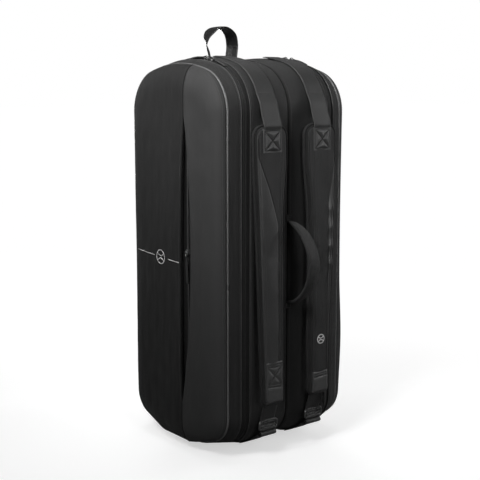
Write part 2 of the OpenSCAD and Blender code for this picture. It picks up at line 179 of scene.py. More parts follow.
# The outline, seen from the side: flat foot, ramps, toes, faces, corners and crown.
HALF_D = 0.159
PATCH_T = 0.0016
CORNER_Y, CORNER_Z, CORNER_R = 0.063, 0.655, 0.096
CROWN_Z, CROWN_R = 0.439, 0.321
CROWN_ANGLE = math.degrees(math.atan2(24, -7))
FRONT_FOOT, FRONT_RAMP = 0.030, 17
REAR_FOOT, REAR_RAMP = 0.048, 20
RAMP_R = 0.055
FRONT_TOE_R, REAR_TOE_R = 0.070, 0.066
ZIP_END_ANGLE = 242

# Across the bag: how far the gussets dip at the middle and at the lids, and their edges.
VALLEY = 0.0055
SHOULDER, SHOULDER_X = 0.014, 0.1376
CREST_X = 0.074
SHELL_T = 0.0016
CORE_HEM_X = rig.box("gusset_b")[1].x
LID_HEM_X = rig.box("lid_b_gusset")[0].x
PIPING_X = middle("lid_b_piping").x
ZIP_X = (CORE_HEM_X + LID_HEM_X) / 2
TAPE_TOP, TAPE_W = 0.0019, 0.017
FOAM_EDGE_X = 0.0858

# A lid's domed face.
LID_FACE_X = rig.box("lid_b_panel")[1].x
DOME_X = PIPING_X + 0.0026
DOME_EDGE = 0.0134
DOME_FLAT = 0.064

# The seam down a lid and the side pocket's mouth in it.
MOUTH_Y, MOUTH_LEAN = -0.045, 0.018
MOUTH_Z = (0.100, 0.650)
SEAM_Z = (0.015, 0.745)
GAPE_FRONT, GAPE_BACK = 0.025, 0.009
POCKET_TAPE_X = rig.box("pocket_b_zip")[0].x
POCKET_ZIP_Y = -0.048

# A strap hangs from its hinge and leans away from the bag as it goes down.
STRAP_X = middle("strap_anchor_r").x
WEBBING_W, HEAD_W = 0.040, 0.0435
PAD_BACK = -HALF_D - 0.0016
PAD_LEAN = math.tan(math.radians(1.3))
HINGE_Z = 0.650
PAD_LOW, PAD_HIGH, PAD_T = 0.112, 0.634, 0.0120

# The handle is an arc of HANDLE_TURN degrees each way.
HANDLE_Y, HANDLE_Z, HANDLE_R, HANDLE_TURN = -0.1463, 0.375, 0.0787, 80


# ------------------------------------------------------------ curves and grids


def xyz(x, y, z):
    """Points from coordinates that broadcast together."""
    return np.stack(np.broadcast_arrays(x, y, z), -1)


def run_along(path):
    """Running length at each point of a path."""
    return np.concatenate([[0], np.cumsum(np.linalg.norm(np.diff(path, axis=0), axis=1))])


def unit(vectors):
    """Vectors at a length of 1."""
    return vectors / np.linalg.norm(vectors, axis=-1, keepdims=True)


def oval(x, y, half_w, half_h, count):
    """Points round an oval."""
    turn = np.linspace(0, 2 * math.pi, count, endpoint=False)
    return np.stack([x + half_w * np.cos(turn), y + half_h * np.sin(turn)], -1)


def eased(count):
    """Shares from 0 to 1 that lie closer together at both ends."""
    return 0.5 - 0.5 * np.cos(np.linspace(0, math.pi, count))


# ------------------------------------------------------------ the bag's outline


def toe_height(foot, ramp, radius):
    """Height of the centre of a toe's arc that meets the ramp up from the foot."""
    slope = math.radians(ramp)
    rise = RAMP_R * (1 - math.cos(slope))
    run = HALF_D - radius + radius * math.sin(slope) - foot - RAMP_R * math.sin(slope)
    return PATCH_T + rise + run * math.tan(slope) + radius * math.cos(slope)


def trace_outline():
    """Length, y, z and normal angle from the middle of the foot, up the strap face and over."""
    turns = [
        (-FRONT_FOOT, PATCH_T + RAMP_R, RAMP_R, 270, 270 - FRONT_RAMP),
        (FRONT_TOE_R - HALF_D, FRONT_TOE_Z, FRONT_TOE_R, 270 - FRONT_RAMP, 180),
        (-CORNER_Y, CORNER_Z, CORNER_R, 180, CROWN_ANGLE),
        (0, CROWN_Z, CROWN_R, CROWN_ANGLE, 180 - CROWN_ANGLE),
        (CORNER_Y, CORNER_Z, CORNER_R, 180 - CROWN_ANGLE, 0),
        (HALF_D - REAR_TOE_R, REAR_TOE_Z, REAR_TOE_R, 0, REAR_RAMP - 90),
        (REAR_FOOT, PATCH_T + RAMP_R, RAMP_R, REAR_RAMP - 90, -90),
    ]
    places = [(0, PATCH_T, 270)]
    for y, z, radius, start, end in turns:
        for angle in np.linspace(start, end, 80):
            turn = math.radians(angle)
            places.append((y + radius * math.cos(turn), z + radius * math.sin(turn), angle))
    places.append((0, PATCH_T, -90))
    table = np.array(places)
    return run_along(table[:, :2]), *table.T


FRONT_TOE_Z = toe_height(FRONT_FOOT, FRONT_RAMP, FRONT_TOE_R)
REAR_TOE_Z = toe_height(REAR_FOOT, REAR_RAMP, REAR_TOE_R)
OUT_S, OUT_Y, OUT_Z, OUT_ANGLE = trace_outline()
AROUND = OUT_S[-1]
FACE_S = OUT_S[np.argmax(OUT_ANGLE <= 180.0001)]


def on_outline(s, off=0.0):
    """Place and outward direction at a length round the outline: y, z, normal y, normal z."""
    s = np.mod(s, AROUND)
    angle = np.radians(np.interp(s, OUT_S, OUT_ANGLE))
    normal_y, normal_z = np.cos(angle), np.sin(angle)
    y = np.interp(s, OUT_S, OUT_Y) + off * normal_y
    z = np.interp(s, OUT_S, OUT_Z) + off * normal_z
    return y, z, normal_y, normal_z


def s_on_face(z):
    """Length round the outline at a height on the strap face."""
    return FACE_S + z - FRONT_TOE_Z


def s_on_top(y, off=0.0):
    """Length round the outline at a depth on the crown."""
    s = np.linspace(s_at_angle(170), s_at_angle(10), 2000)
    return float(np.interp(y, on_outline(s, off)[0], s))


def s_on_foot(y, off=0.0):
    """Length round the outline at a depth on the foot and ramp; negative behind the middle."""
    s = np.linspace(-0.11, 0.11, 1000)
    return float(np.interp(-y, -on_outline(s, off)[0], s))


def s_at_angle(angle):
    """Length at which the outline faces a direction, from 270 degrees at the foot down to -90."""
    return float(np.interp(-angle, -OUT_ANGLE, OUT_S))


FRONT_TOE_S, FRONT_CORNER_S = s_at_angle(215), s_at_angle(140)
REAR_TOE_S, REAR_CORNER_S = s_at_angle(-35), s_at_angle(40)


def bulge(x):
    """Outward bulge of the gussets at a distance x from the middle."""
    x = np.abs(x)
    near = -VALLEY * ((CREST_X - x) / CREST_X) ** 2
    far = -SHOULDER * ((x - CREST_X) / (SHOULDER_X - CREST_X)) ** 2
    return np.where(x < CREST_X, near, far)


def under_skin(xs, depth):
    """Profile places (x, outwards) a depth under the gussets' skin."""
    return np.stack([xs, bulge(xs) - depth], -1).tolist()


def outline_tree():
    """Search tree of close points on the outline."""
    s = np.arange(0, AROUND, 0.0003)
    y, z, _, _ = on_outline(s)
    tree = KDTree(len(s))
    for number in range(len(s)):
        tree.insert((0, y[number], z[number]), number)
    tree.balance()
    return tree


OUTLINE = outline_tree()


def inset(y, z):
    """Distance of points inside the outline."""
    y, z = np.broadcast_arrays(y, z)
    gaps = [OUTLINE.find((0, *point))[2] for point in zip(y.ravel().tolist(), z.ravel().tolist())]
    return np.array(gaps).reshape(y.shape)


def dome(depth, x0, rise, edge):
    """Height of a sheet that rises at right angles from its edge and is flat past DOME_FLAT."""
    share = np.clip((DOME_FLAT - depth) / (DOME_FLAT - edge), 0, 1)
    return x0 + rise * np.sqrt(1 - share**2)


def swell(a, b, seed, size):
    """Smooth repeatable unevenness over two lengths, about -1 to 1, with bumps about size across."""
    rng = np.random.default_rng(seed)
    total = 0
    for _ in range(7):
        turn, rate = rng.uniform(0, 2 * math.pi), rng.uniform(0.5, 1.3) / size
        phase = rng.uniform(0, 2 * math.pi)
        total = total + np.sin(2 * math.pi * rate * (a * math.cos(turn) + b * math.sin(turn)) + phase)
    return total / 3.2


def bell(value, centre, width):
    """A bump of height 1 round a centre."""
    return np.exp(-(((value - centre) / width) ** 2))


def step(value, low, high):
    """A smooth rise from 0 at low to 1 at high."""
    t = np.clip((value - low) / (high - low), 0, 1)
    return t * t * (3 - 2 * t)


# ------------------------------------------------------------ mesh building


def new_object(name, verts, faces, corner_uv=None):
    """A smooth-shaded mesh object in the scene."""
    mesh = bpy.data.meshes.new(name)
    mesh.from_pydata([tuple(v) for v in np.asarray(verts).tolist()], [], faces)
    if corner_uv is not None:
        layer = mesh.uv_layers.new(name="UVMap")
        layer.data.foreach_set("uv", np.asarray(corner_uv, np.float32).ravel())
    mesh.polygons.foreach_set("use_smooth", [True] * len(mesh.polygons))
    obj = bpy.data.objects.new(name, mesh)
    bpy.context.scene.collection.objects.link(obj)
    return obj


def face_out(obj, toward=None):
    """Turns the faces of a closed mesh outwards, or an open one towards a direction."""
    bm = bmesh.new()
    bm.from_mesh(obj.data)
    bmesh.ops.recalc_face_normals(bm, faces=bm.faces)
    if toward is not None:
        total = sum((f.normal * f.calc_area() for f in bm.faces), Vector())
        if total.dot(Vector(toward)) < 0:
            bmesh.ops.reverse_faces(bm, faces=bm.faces)
    bm.to_mesh(obj.data)
    bm.free()
    return obj


def lengths(points, axis):
    """Running length through a grid of points along one axis."""
    gaps = np.linalg.norm(np.diff(points, axis=axis), axis=-1)
    start = np.zeros_like(np.take(gaps, [0], axis=axis))
    return np.concatenate([start, np.cumsum(gaps, axis=axis)], axis=axis)


def lattice(name, points, across, along, ring=False, shut=False, side=1):
    """Quads through a grid of points with a UV map in metres.

    Rows follow each other along the piece and close up if ring; columns run
    across it and close up if shut. A shut piece that is no ring gets end caps.
    """
    rows, cols = points.shape[:2]
    index = np.arange(rows * cols).reshape(rows, cols)
    i, j = np.meshgrid(
        np.arange(rows if ring else rows - 1), np.arange(cols if shut else cols - 1), indexing="ij"
    )
    i2, j2 = (i + 1) % rows, (j + 1) % cols
    quads = np.stack([index[i, j], index[i2, j], index[i2, j2], index[i, j2]], -1).reshape(-1, 4)
    shape = (rows + ring, cols + shut)
    across = np.broadcast_to(across[None, :] if across.ndim == 1 else across, shape)
    along = np.broadcast_to(along[:, None] if along.ndim == 1 else along, shape)
    corners = [(i, j), (i + 1, j), (i + 1, j + 1), (i, j + 1)]
    uv = np.stack([np.stack([across[c], along[c]], -1) for c in corners], -2).reshape(-1, 2)
    faces = quads.tolist()
    if shut and not ring:
        faces += [index[0].tolist(), index[-1][::-1].tolist()]
        uv = np.concatenate([uv, np.zeros((2 * cols, 2))])
    verts = points.reshape(-1, 3) * (side, 1, 1)
    return face_out(new_object(name, verts, faces, uv))


def sweep(name, profile, side=1, span=None, gap=0.006, lift=None):
    """Carries a closed profile (x, outwards) round the outline, or along a span of it."""
    profile = np.asarray(profile, float)
    ring = span is None
    low, high = (0, AROUND) if ring else span
    count = max(2, int((high - low) / gap))
    s = np.linspace(low, high, count, endpoint=not ring)
    x = np.broadcast_to(profile[:, 0], (len(s), len(profile)))
    off = np.broadcast_to(profile[:, 1], x.shape)
    if lift is not None:
        off = off + lift(s[:, None], x)
    y, z, normal_y, normal_z = on_outline(s)
    points = xyz(x, y[:, None] + off * normal_y[:, None], z[:, None] + off * normal_z[:, None])
    across = run_along(np.concatenate([profile, profile[:1]]))
    along = np.append(s, high) if ring else s
    return lattice(name, points, across, along, ring=ring, shut=True, side=side)


def coons(left, right, bottom, top, u, v):
    """Grid filled in between four edges, rows from bottom to top and columns from left to right."""
    u, v = u[None, :, None], v[:, None, None]
    sides = (1 - u) * left[:, None] + u * right[:, None]
    ends = (1 - v) * bottom[None] + v * top[None]
    low = (1 - u) * bottom[0] + u * bottom[-1]
    high = (1 - u) * top[0] + u * top[-1]
    return sides + ends - (1 - v) * low - v * high


def frames(path):
    """Unit directions along a path."""
    return unit(np.gradient(path, axis=0))


def smooth_path(places, count):
    """A smooth path through a few places, evenly spaced (Catmull-Rom)."""
    p = np.asarray(places, float)
    p = np.concatenate([[2 * p[0] - p[1]], p, [2 * p[-1] - p[-2]]])
    out = []
    for k in range(1, len(p) - 2):
        t = np.linspace(0, 1, 24, endpoint=False)[:, None]
        a, b, c, d = p[k - 1], p[k], p[k + 1], p[k + 2]
        bend = (2 * a - 5 * b + 4 * c - d) * t**2 + (3 * b - a - 3 * c + d) * t**3
        out.append(0.5 * (2 * b + (c - a) * t + bend))
    dense = np.concatenate(out + [p[-2][None]])
    run = run_along(dense)
    even = np.linspace(0, run[-1], count)
    return np.stack([np.interp(even, run, dense[:, k]) for k in range(dense.shape[1])], -1)


def strap_path(places, count):
    """A smooth path through places (y, z) in the middle plane of a strap."""
    return smooth_path([(STRAP_X, y, z) for y, z in places], count)


def strip(name, path, across, width, thick, crown=0.0, cols=9, side=1):
    """Webbing: a thin band with rounded edges along a path, across it in a given direction."""
    path, across = np.asarray(path, float), np.broadcast_to(across, np.shape(path))
    along = frames(path)
    across = unit(across - (across * along).sum(1, keepdims=True) * along)
    out = np.cross(along, across)
    width = np.broadcast_to(width, len(path))[:, None]
    thick = np.broadcast_to(thick, len(path))[:, None]
    crown = np.broadcast_to(crown, len(path))[:, None]
    t = np.linspace(-1, 1, cols)[None, :]
    edge = np.sqrt(np.clip(1 - np.abs(t) ** 14, 0, 1)) * 0.5
    top = np.stack([t * width / 2, crown * (1 - t**2) + edge * thick], -1)
    low = np.stack([t * width / 2, crown * (1 - t**2) - edge * thick], -1)
    ring = np.concatenate([top, low[:, ::-1][:, 1:-1]], 1)
    points = path[:, None] + ring[..., :1] * across[:, None] + ring[..., 1:] * out[:, None]
    flat = np.concatenate([ring[len(ring) // 2, :, 0], ring[len(ring) // 2, :1, 0]])
    return lattice(name, points, flat, run_along(path), shut=True, side=side)


def cord(name, path, radius, flat=1.0, closed=False, up=(0, 1, 0), sides=10, side=1):
    """A round or flattened cord along a path."""
    path = np.asarray(path, float)
    if closed:
        along = unit(np.roll(path, -1, 0) - np.roll(path, 1, 0))
    else:
        along = frames(path)
    up = np.broadcast_to(np.asarray(up, float), path.shape)
    up = unit(up - (up * along).sum(1, keepdims=True) * along)
    out = np.cross(along, up)
    turn = np.linspace(0, 2 * math.pi, sides, endpoint=False)
    radius = np.broadcast_to(radius, len(path))[:, None, None]
    ring = np.cos(turn)[None, :, None] * out[:, None] + flat * np.sin(turn)[None, :, None] * up[:, None]
    points = path[:, None] + radius * ring
    run = run_along(np.concatenate([path, path[:1]]))[: len(path) + closed]
    across = np.linspace(0, 2 * math.pi * float(radius.mean()), sides + 1)
    return lattice(name, points, across, run, ring=closed, shut=True, side=side)


def stitches(name, path, out, pitch=0.0046, long=0.0032, wide=0.00075, side=1, closed=False):
    """A row of sewn stitches that lie on a surface: small flattened beads of thread."""
    path, out = np.asarray(path, float), np.broadcast_to(np.asarray(out, float), np.shape(path))
    if closed:
        path, out = np.concatenate([path, path[:1]]), np.concatenate([out, out[:1]])
    run = run_along(path)
    count = max(1, int(run[-1] / pitch))
    mid = (np.arange(count) + 0.5) * run[-1] / count
    at = lambda s: np.stack([np.interp(s, run, path[:, k]) for k in range(3)], -1)
    centre = at(mid)
    along = unit(at(np.minimum(mid + 0.001, run[-1])) - at(np.maximum(mid - 0.001, 0)))
    up = unit(np.stack([np.interp(mid, run, out[:, k]) for k in range(3)], -1))
    across = np.cross(along, up)
    beads = [(-1, 0, -0.6), (-0.72, 1, 0), (0, 1, 0.35), (0.72, 1, 0), (1, 0, -0.6)]
    corners = [(1, 0), (0, 1), (-1, 0), (0, -0.6)]
    local, faces = [], []
    for reach, size, sink in beads:
        for c, d in corners[: 4 if size else 1]:
            local.append((reach * long / 2, c * size * wide / 2, (d * size + sink) * wide * 0.4))
    for k in range(4):
        n = (k + 1) % 4
        faces.append((0, 1 + n, 1 + k))
        faces += [(1 + k + 4 * r, 1 + n + 4 * r, 5 + n + 4 * r, 5 + k + 4 * r) for r in range(2)]
        faces.append((9 + k, 9 + n, 13))
    local = np.array(local)
    points = (
        centre[:, None]
        + local[None, :, :1] * along[:, None]
        + local[None, :, 1:2] * across[:, None]
        + local[None, :, 2:] * up[:, None]
    )
    verts = points.reshape(-1, 3) * (side, 1, 1)
    every = [tuple(i + len(local) * k for i in f) for k in range(count) for f in faces]
    return face_out(new_object(name, verts, every))


def modify(obj, kind, **settings):
    """Adds a modifier and applies it."""
    modifier = obj.modifiers.new(kind.title(), kind)
    for key, value in settings.items():
        setattr(modifier, key, value)
    graph = bpy.context.evaluated_depsgraph_get()
    done = bpy.data.meshes.new_from_object(obj.evaluated_get(graph))
    old = obj.data
    obj.modifiers.clear()
    obj.data = done
    bpy.data.meshes.remove(old)
    return obj


def thicken(obj, thickness):
    """Gives an open sheet a thickness on its inner side."""
    return modify(obj, "SOLIDIFY", thickness=thickness, offset=-1)


def join(name, objects):
    """Merges several objects into one."""
    bm = bmesh.new()
    for obj in objects:
        obj.data.transform(obj.matrix_world)
        bm.from_mesh(obj.data)
    mesh = bpy.data.meshes.new(name)
    bm.to_mesh(mesh)
    bm.free()
    for obj in objects:
        bpy.data.objects.remove(obj)
    merged = bpy.data.objects.new(name, mesh)
    bpy.context.scene.collection.objects.link(merged)
    return merged


# ------------------------------------------------------------ materials


class Shader:
    """Builds one material's nodes."""

    def __init__(self, name):
        self.material = bpy.data.materials.new(name)
        self.material.use_nodes = True
        self.tree = self.material.node_tree
        self.surface = self.tree.nodes["Principled BSDF"]

    def node(self, kind, inputs, output=0, **settings):
        """Adds a node and returns one of its outputs."""
        made = self.tree.nodes.new(kind)
        for key, value in settings.items():
            setattr(made, key, value)
        for key, value in inputs.items():
            self.plug(made.inputs[key], value)
        return made.outputs[output]

    def plug(self, socket, value):
        """Gives an input a link or a value."""
        if isinstance(value, bpy.types.NodeSocket):
            self.tree.links.new(value, socket)
        else:
            socket.default_value = value

    def set(self, **inputs):
        """Gives the surface its inputs, named with _ for a space."""
        for key, value in inputs.items():
            self.plug(self.surface.inputs[key.replace("_", " ")], value)

    def math(self, operation, a, b=0.0, c=0.0):
        return self.node("ShaderNodeMath", {0: a, 1: b, 2: c}, operation=operation)

    def mix(self, share, a, b):
        """From a to b as the share goes from 0 to 1."""
        return self.math("MULTIPLY_ADD", self.math("SUBTRACT", b, a), share, a)

    def wave(self, spot, pitch):
        """A sine with its zeros a pitch apart."""
        return self.math("SINE", self.math("MULTIPLY", spot, math.pi / pitch))

    def noise(self, scale, detail=3.0, vector=None):
        inputs = {"Scale": scale, "Detail": detail}
        if vector is not None:
            inputs["Vector"] = vector
        return self.node("ShaderNodeTexNoise", inputs)

    def places(self, coords):
        """The two surface coordinates, in metres, and the object coordinates."""
        texture = self.tree.nodes.new("ShaderNodeTexCoord")
        source = texture.outputs["UV" if coords == "uv" else "Object"]
        parts = self.tree.nodes.new("ShaderNodeSeparateXYZ")
        self.tree.links.new(source, parts.inputs[0])
        second = "Y" if coords == "uv" else "Z"
        return parts.outputs["X"], parts.outputs[second], texture.outputs["Object"]

    def bump(self, height, distance, normal=None):
        inputs = {"Height": height, "Distance": distance, "Strength": 1.0}
        if normal is not None:
            inputs["Normal"] = normal
        return self.node("ShaderNodeBump", inputs)

    def colour(self, base, shade):
        """A colour scaled by a shade socket."""
        return self.node("ShaderNodeVectorMath", {0: base, "Scale": shade}, operation="SCALE")

    def worn(self, low, high, most):
        """Paler where an edge is sharp enough to wear."""
        edge = self.node("ShaderNodeNewGeometry", {}, "Pointiness")
        return self.node("ShaderNodeMapRange", {0: edge, 1: low, 2: high, 3: 0.0, 4: most})

    def woven(self, kind, u, v, thread, stretch):
        """Height of a weave from 0 to 1."""
        warp = self.math("ABSOLUTE", self.wave(u, thread))
        weft = self.math("ABSOLUTE", self.wave(v, thread * stretch))
        if kind == "rib":
            return self.math("MULTIPLY", warp, self.mix(0.35, 1.0, weft))
        if kind == "grosgrain":
            return self.math("MULTIPLY", weft, self.mix(0.3, 1.0, warp))
        if kind == "mesh":
            hole = self.math("MULTIPLY", warp, weft)
            return self.math("SUBTRACT", 1.0, self.math("POWER", hole, 1.6))
        if kind == "twill":
            check = self.wave(self.math("ADD", u, v), thread * 1.5)
        else:
            cell = thread * (2 if kind == "basket" else 1)
            check = self.math("MULTIPLY", self.wave(u, cell), self.wave(v, cell * stretch))
        return self.mix(self.math("GREATER_THAN", check, 0.0), warp, weft)


def fabric(
    name, colour, thread, rough, kind="plain", stretch=1.0, depth=0.0002, sheen=0.25, mottle=0.16,
    coords="uv", slack=0.0005, shine=0.4,
):
    """Cloth or webbing: weave, uneven dye, soft slack, fuzz and paler worn edges."""
    shader = Shader(name)
    u, v, spot = shader.places(coords)
    weave = shader.woven(kind, u, v, thread, stretch)
    dye = shader.noise(9.0, 5.0, spot)
    thread_noise = shader.noise(900.0, 2.0, spot)
    shade = shader.math("MULTIPLY_ADD", weave, 0.62, 0.55)
    shade = shader.math("MULTIPLY", shade, shader.math("MULTIPLY_ADD", dye, 2 * mottle, 1 - mottle))
    shade = shader.math("MULTIPLY", shade, shader.math("MULTIPLY_ADD", thread_noise, 0.3, 0.85))
    shade = shader.math("ADD", shade, shader.worn(0.53, 0.64, 0.6))
    shader.set(Base_Color=shader.colour([colour] * 3, shade))
    spread = shader.noise(30.0, 4.0, spot)
    shader.set(
        Roughness=shader.math("MULTIPLY_ADD", spread, 0.16, rough - 0.08),
        Specular_IOR_Level=0.6 * shine,
        Sheen_Weight=0.25 * sheen,
        Sheen_Roughness=0.45,
        Sheen_Tint=(0.5, 0.5, 0.5, 1),
    )
    slack_normal = shader.bump(shader.noise(34.0, 2.0, spot), slack)
    fuzz = shader.bump(shader.noise(2600.0, 1.0, spot), 0.00006, slack_normal)
    shader.set(Normal=shader.bump(weave, depth, fuzz))
    return shader.material


def moulded(name, colour, rough, grain=0.00005, scale=900.0, metal=0.0, shine=0.5, scratches=0.0):
    """Moulded plastic, rubber or die-cast metal: fine grain, handling marks and worn edges."""
    shader = Shader(name)
    spot = shader.places("object")[2]
    marks = shader.noise(60.0, 6.0, spot)
    shade = shader.math("MULTIPLY_ADD", marks, 0.3, 0.85)
    shade = shader.math("ADD", shade, shader.worn(0.52, 0.62, 0.5))
    shader.set(Base_Color=shader.colour([colour] * 3, shade), Metallic=metal, Specular_IOR_Level=shine)
    shader.set(Roughness=shader.math("MULTIPLY_ADD", marks, 0.25, rough - 0.12))
    fine = shader.bump(shader.noise(scale, 2.0, spot), grain)
    if scratches:
        streaks = shader.node("ShaderNodeMapping", {"Vector": spot, "Scale": (2400.0, 260.0, 2400.0)})
        fine = shader.bump(shader.noise(1.0, 2.0, streaks), scratches, fine)
    shader.set(Normal=fine)
    return shader.material


def foil_lining(name):
    """Thermal lining: crinkled silver film on a quilted backing."""
    shader = Shader(name)
    u, v, spot = shader.places("uv")
    one = shader.wave(shader.math("ADD", u, v), 0.03)
    other = shader.wave(shader.math("SUBTRACT", u, v), 0.03)
    quilt = shader.math("MULTIPLY", one, other)
    crinkle = shader.noise(130.0, 6.0, spot)
    shade = shader.math("MULTIPLY_ADD", crinkle, 0.5, 0.6)
    shader.set(Base_Color=shader.colour([0.52, 0.53, 0.55], shade), Metallic=0.75)
    shader.set(Roughness=shader.math("MULTIPLY_ADD", crinkle, 0.3, 0.22))
    soft = shader.bump(shader.math("ABSOLUTE", quilt), 0.0012)
    shader.set(Normal=shader.bump(crinkle, 0.0007, soft))
    return shader.material


def foam(name):
    """Cut foam with open cells."""
    shader = Shader(name)
    spot = shader.places("object")[2]
    cells = shader.node("ShaderNodeTexVoronoi", {"Vector": spot, "Scale": 900.0})
    shade = shader.math("MULTIPLY_ADD", cells, 0.5, 0.6)
    shader.set(Base_Color=shader.colour([0.05, 0.05, 0.052], shade), Roughness=0.95)
    shader.set(Normal=shader.bump(cells, 0.0004))
    return shader.material


MATERIALS = {
    "ballistic_fabric": fabric("ballistic_fabric", 0.0140, 0.0008, 0.60, "basket", shine=0.35),
    "smooth_panel": fabric(
        "smooth_panel", 0.0270, 0.00045, 0.58, "plain",
        depth=0.00005, mottle=0.08, slack=0.0003, shine=0.3,
    ),
    "ribbed_mesh": fabric(
        "ribbed_mesh", 0.0085, 0.0015, 0.62, "rib", 0.6,
        depth=0.0003, sheen=0.3, mottle=0.12, shine=0.3,
    ),
    "foam": foam("foam"),
    "thermal_lining": foil_lining("thermal_lining"),
    "plain_lining": fabric("plain_lining", 0.03, 0.0004, 0.62, "twill", depth=0.00008, slack=0.0012),
    "divider_fabric": fabric("divider_fabric", 0.035, 0.0006, 0.85, "plain", sheen=0.8, slack=0.0008),
    "seam_binding": fabric("seam_binding", 0.004, 0.0007, 0.6, "grosgrain", shine=0.25),
    "frame_sheet": moulded("frame_sheet", 0.02, 0.45, 0.0001, 400.0),
    "base_rubber": moulded("base_rubber", 0.012, 0.75, 0.0003, 700.0, shine=0.3),
    "zip_tape": fabric("zip_tape", 0.0075, 0.0006, 0.55, "twill", depth=0.00012, shine=0.35),
    "webbing": fabric(
        "webbing", 0.021, 0.0010, 0.42, "twill", 0.7,
        depth=0.00012, sheen=0.2, mottle=0.12, shine=0.45,
    ),
    "satin_webbing": fabric(
        "satin_webbing", 0.007, 0.0008, 0.28, "grosgrain",
        depth=0.00008, sheen=0.1, mottle=0.1, shine=0.8,
    ),
    "handle_fabric": fabric("handle_fabric", 0.015, 0.0007, 0.55, "plain", sheen=0.4, slack=0.0007),
    # Dark satin piping, made paler than the black fabric so its colour paints the highlight along it.
    "piping": fabric("piping", 0.075, 0.0008, 0.30, "grosgrain", depth=0.00010, mottle=0.1, shine=1.1),
    "emblem_print": moulded("emblem_print", 0.42, 0.5, 0.00002),
    "slider_metal": moulded(
        "slider_metal", 0.13, 0.28, 0.00002, 1500.0, metal=0.9, scratches=0.00002
    ),
    "pull_rubber": moulded("pull_rubber", 0.015, 0.45, 0.00006, 1100.0),
    "pad_mesh": fabric(
        "pad_mesh", 0.017, 0.0013, 0.8, "mesh", 1.2, depth=0.0005, sheen=0.5, coords="face"
    ),
    "strap_fabric": fabric("strap_fabric", 0.0100, 0.0006, 0.52, "basket", sheen=0.3, shine=0.4),
    "buckle_plastic": moulded("buckle_plastic", 0.024, 0.28, 0.00005, 1300.0, shine=1.0),
}
THREAD = moulded("thread", 0.022, 0.55, 0.00002, 3000.0)
# Webbing of the sewn squares, paler than the other webbing: painted highlight of their glossy puffs.
SEWN_HIGHLIGHT = fabric(
    "sewn_webbing", 0.038, 0.0010, 0.36, "twill", 0.7,
    depth=0.00012, sheen=0.2, mottle=0.12, shine=0.7,
)
# The outer band of a strap's facing: its own panel, paler than the facing to paint the light on the strap's outer
# slope.
BAND_PAINTED_LIGHT = fabric("strap_band", 0.029, 0.0005, 0.36, "plain", depth=0.00005, sheen=0.2, shine=0.7)
# A paler fabric for the cord along the lid's hem: painted highlight of the fold.
FOLD_HIGHLIGHT = fabric("folded_edge", 0.042, 0.0005, 0.40, "plain", depth=0.00004, sheen=0.2, shine=0.6)


def dress(obj, slot, nodes=(), finish=None):
    """Gives an object its material and the CAD nodes that it stands for."""
    obj.data.materials.clear()
    obj.data.materials.append(finish or MATERIALS[slot])
    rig.slot(obj, slot)
    if nodes:
        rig.replaces(obj, *nodes)
    return obj


def place(obj, body, slot, *nodes, finish=None):
    """A piece that moves with one body."""
    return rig.ride(dress(obj, slot, nodes, finish), body)


def drape(obj, bodies, start, end, slot, *nodes):
    """A soft piece that stretches between two bodies."""
    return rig.blend(dress(obj, slot, nodes), *bodies, start=start, end=end)


def sew(name, body, slot, path, out, **settings):
    """A row of stitches on a body."""
    place(stitches(name, path, out, **settings), body, slot, finish=THREAD)


# ------------------------------------------------------------ gussets and zips


def fabric_lift(seed, hem_x):
    """Sag of a gusset's fabric, with its doubled hem and the pucker of the hem's stitching."""
    sign = 1 if hem_x < ZIP_X else -1
    stitch_x = hem_x - sign * 0.0030

    def lift(s, x):
        loose = step(np.abs(x - hem_x), 0.003, 0.02) * step(x, 0.002, 0.03)
        loose = loose * step(SHOULDER_X - x, 0.0, 0.012)
        soft = 0.0008 * swell(s, x, seed, 0.16) + 0.0004 * swell(s, 2 * x, seed + 1, 0.05)
        doubled = 0.0005 * step(sign * (x - hem_x), -0.0125, -0.0105)
        sewn = -0.0005 * bell(x, stitch_x, 0.0010)
        ripple = np.sin(s * 2 * math.pi / 0.013 + swell(s, x, seed + 2, 0.1))
        pucker = 0.00022 * ripple * bell(x, stitch_x, 0.005)
        return loose * soft + doubled + sewn + pucker

    return lift


def build_gusset(letter, side):
    """Outer fabric of a compartment, from the centre seam to the zip's hem."""
    body = np.linspace(0.005, CORE_HEM_X - 0.0125, 20)
    hem = CORE_HEM_X - np.array([0.0112, 0.010, 0.0075, 0.005, 0.0040, 0.0034, 0.0026, 0.0020, 0.0010])
    xs = np.concatenate([[0.003], body, hem])
    skin = [(0.0010, -VALLEY - 0.0034), (0.0016, -VALLEY - 0.0014)]
    skin += [(x, float(bulge(x)) - 0.0002 * (x < 0.004)) for x in xs]
    edge = float(bulge(CORE_HEM_X))
    for inwards, down in [(0.0002, 0.0003), (0, 0.0009), (0.0003, 0.0015)]:
        skin.append((CORE_HEM_X - inwards, edge - down))
    inner = under_skin(np.linspace(CORE_HEM_X - 0.002, 0.0035, 14), SHELL_T)
    lift = fabric_lift(10 + side, CORE_HEM_X)
    obj = sweep(f"gusset_{letter}_fabric", skin + inner, side, lift=lift)
    place(obj, "core", "ballistic_fabric", f"gusset_{letter}")
    sew_round(f"gusset_{letter}_stitches", "core", side, CORE_HEM_X - 0.0030, lift)
    sew_round(f"gusset_{letter}_seam_stitches", "core", side, 0.0052, lift)
    # A cord a little paler than the gusset along its hem: painted highlight of the fold.
    hem_x = CORE_HEM_X - 0.0006
    edge_cord(f"gusset_{letter}_hem_roll", "core", side, hem_x, edge - 0.0002, 0.0008, THREAD)


def edge_cord(name, body, side, x, off, radius, finish):
    """A thin cord that follows the bag round: a pale one paints the highlight along a hem's fold, a dark one paints
    the shadow in a seam's groove.
    """
    ring = oval(x, off, radius, radius, 8)
    roll = lambda s, _: 0.00015 * swell(s, x, 17, 0.04)
    place(sweep(name, ring, side, gap=0.004, lift=roll), body, "seam_binding", finish=finish)


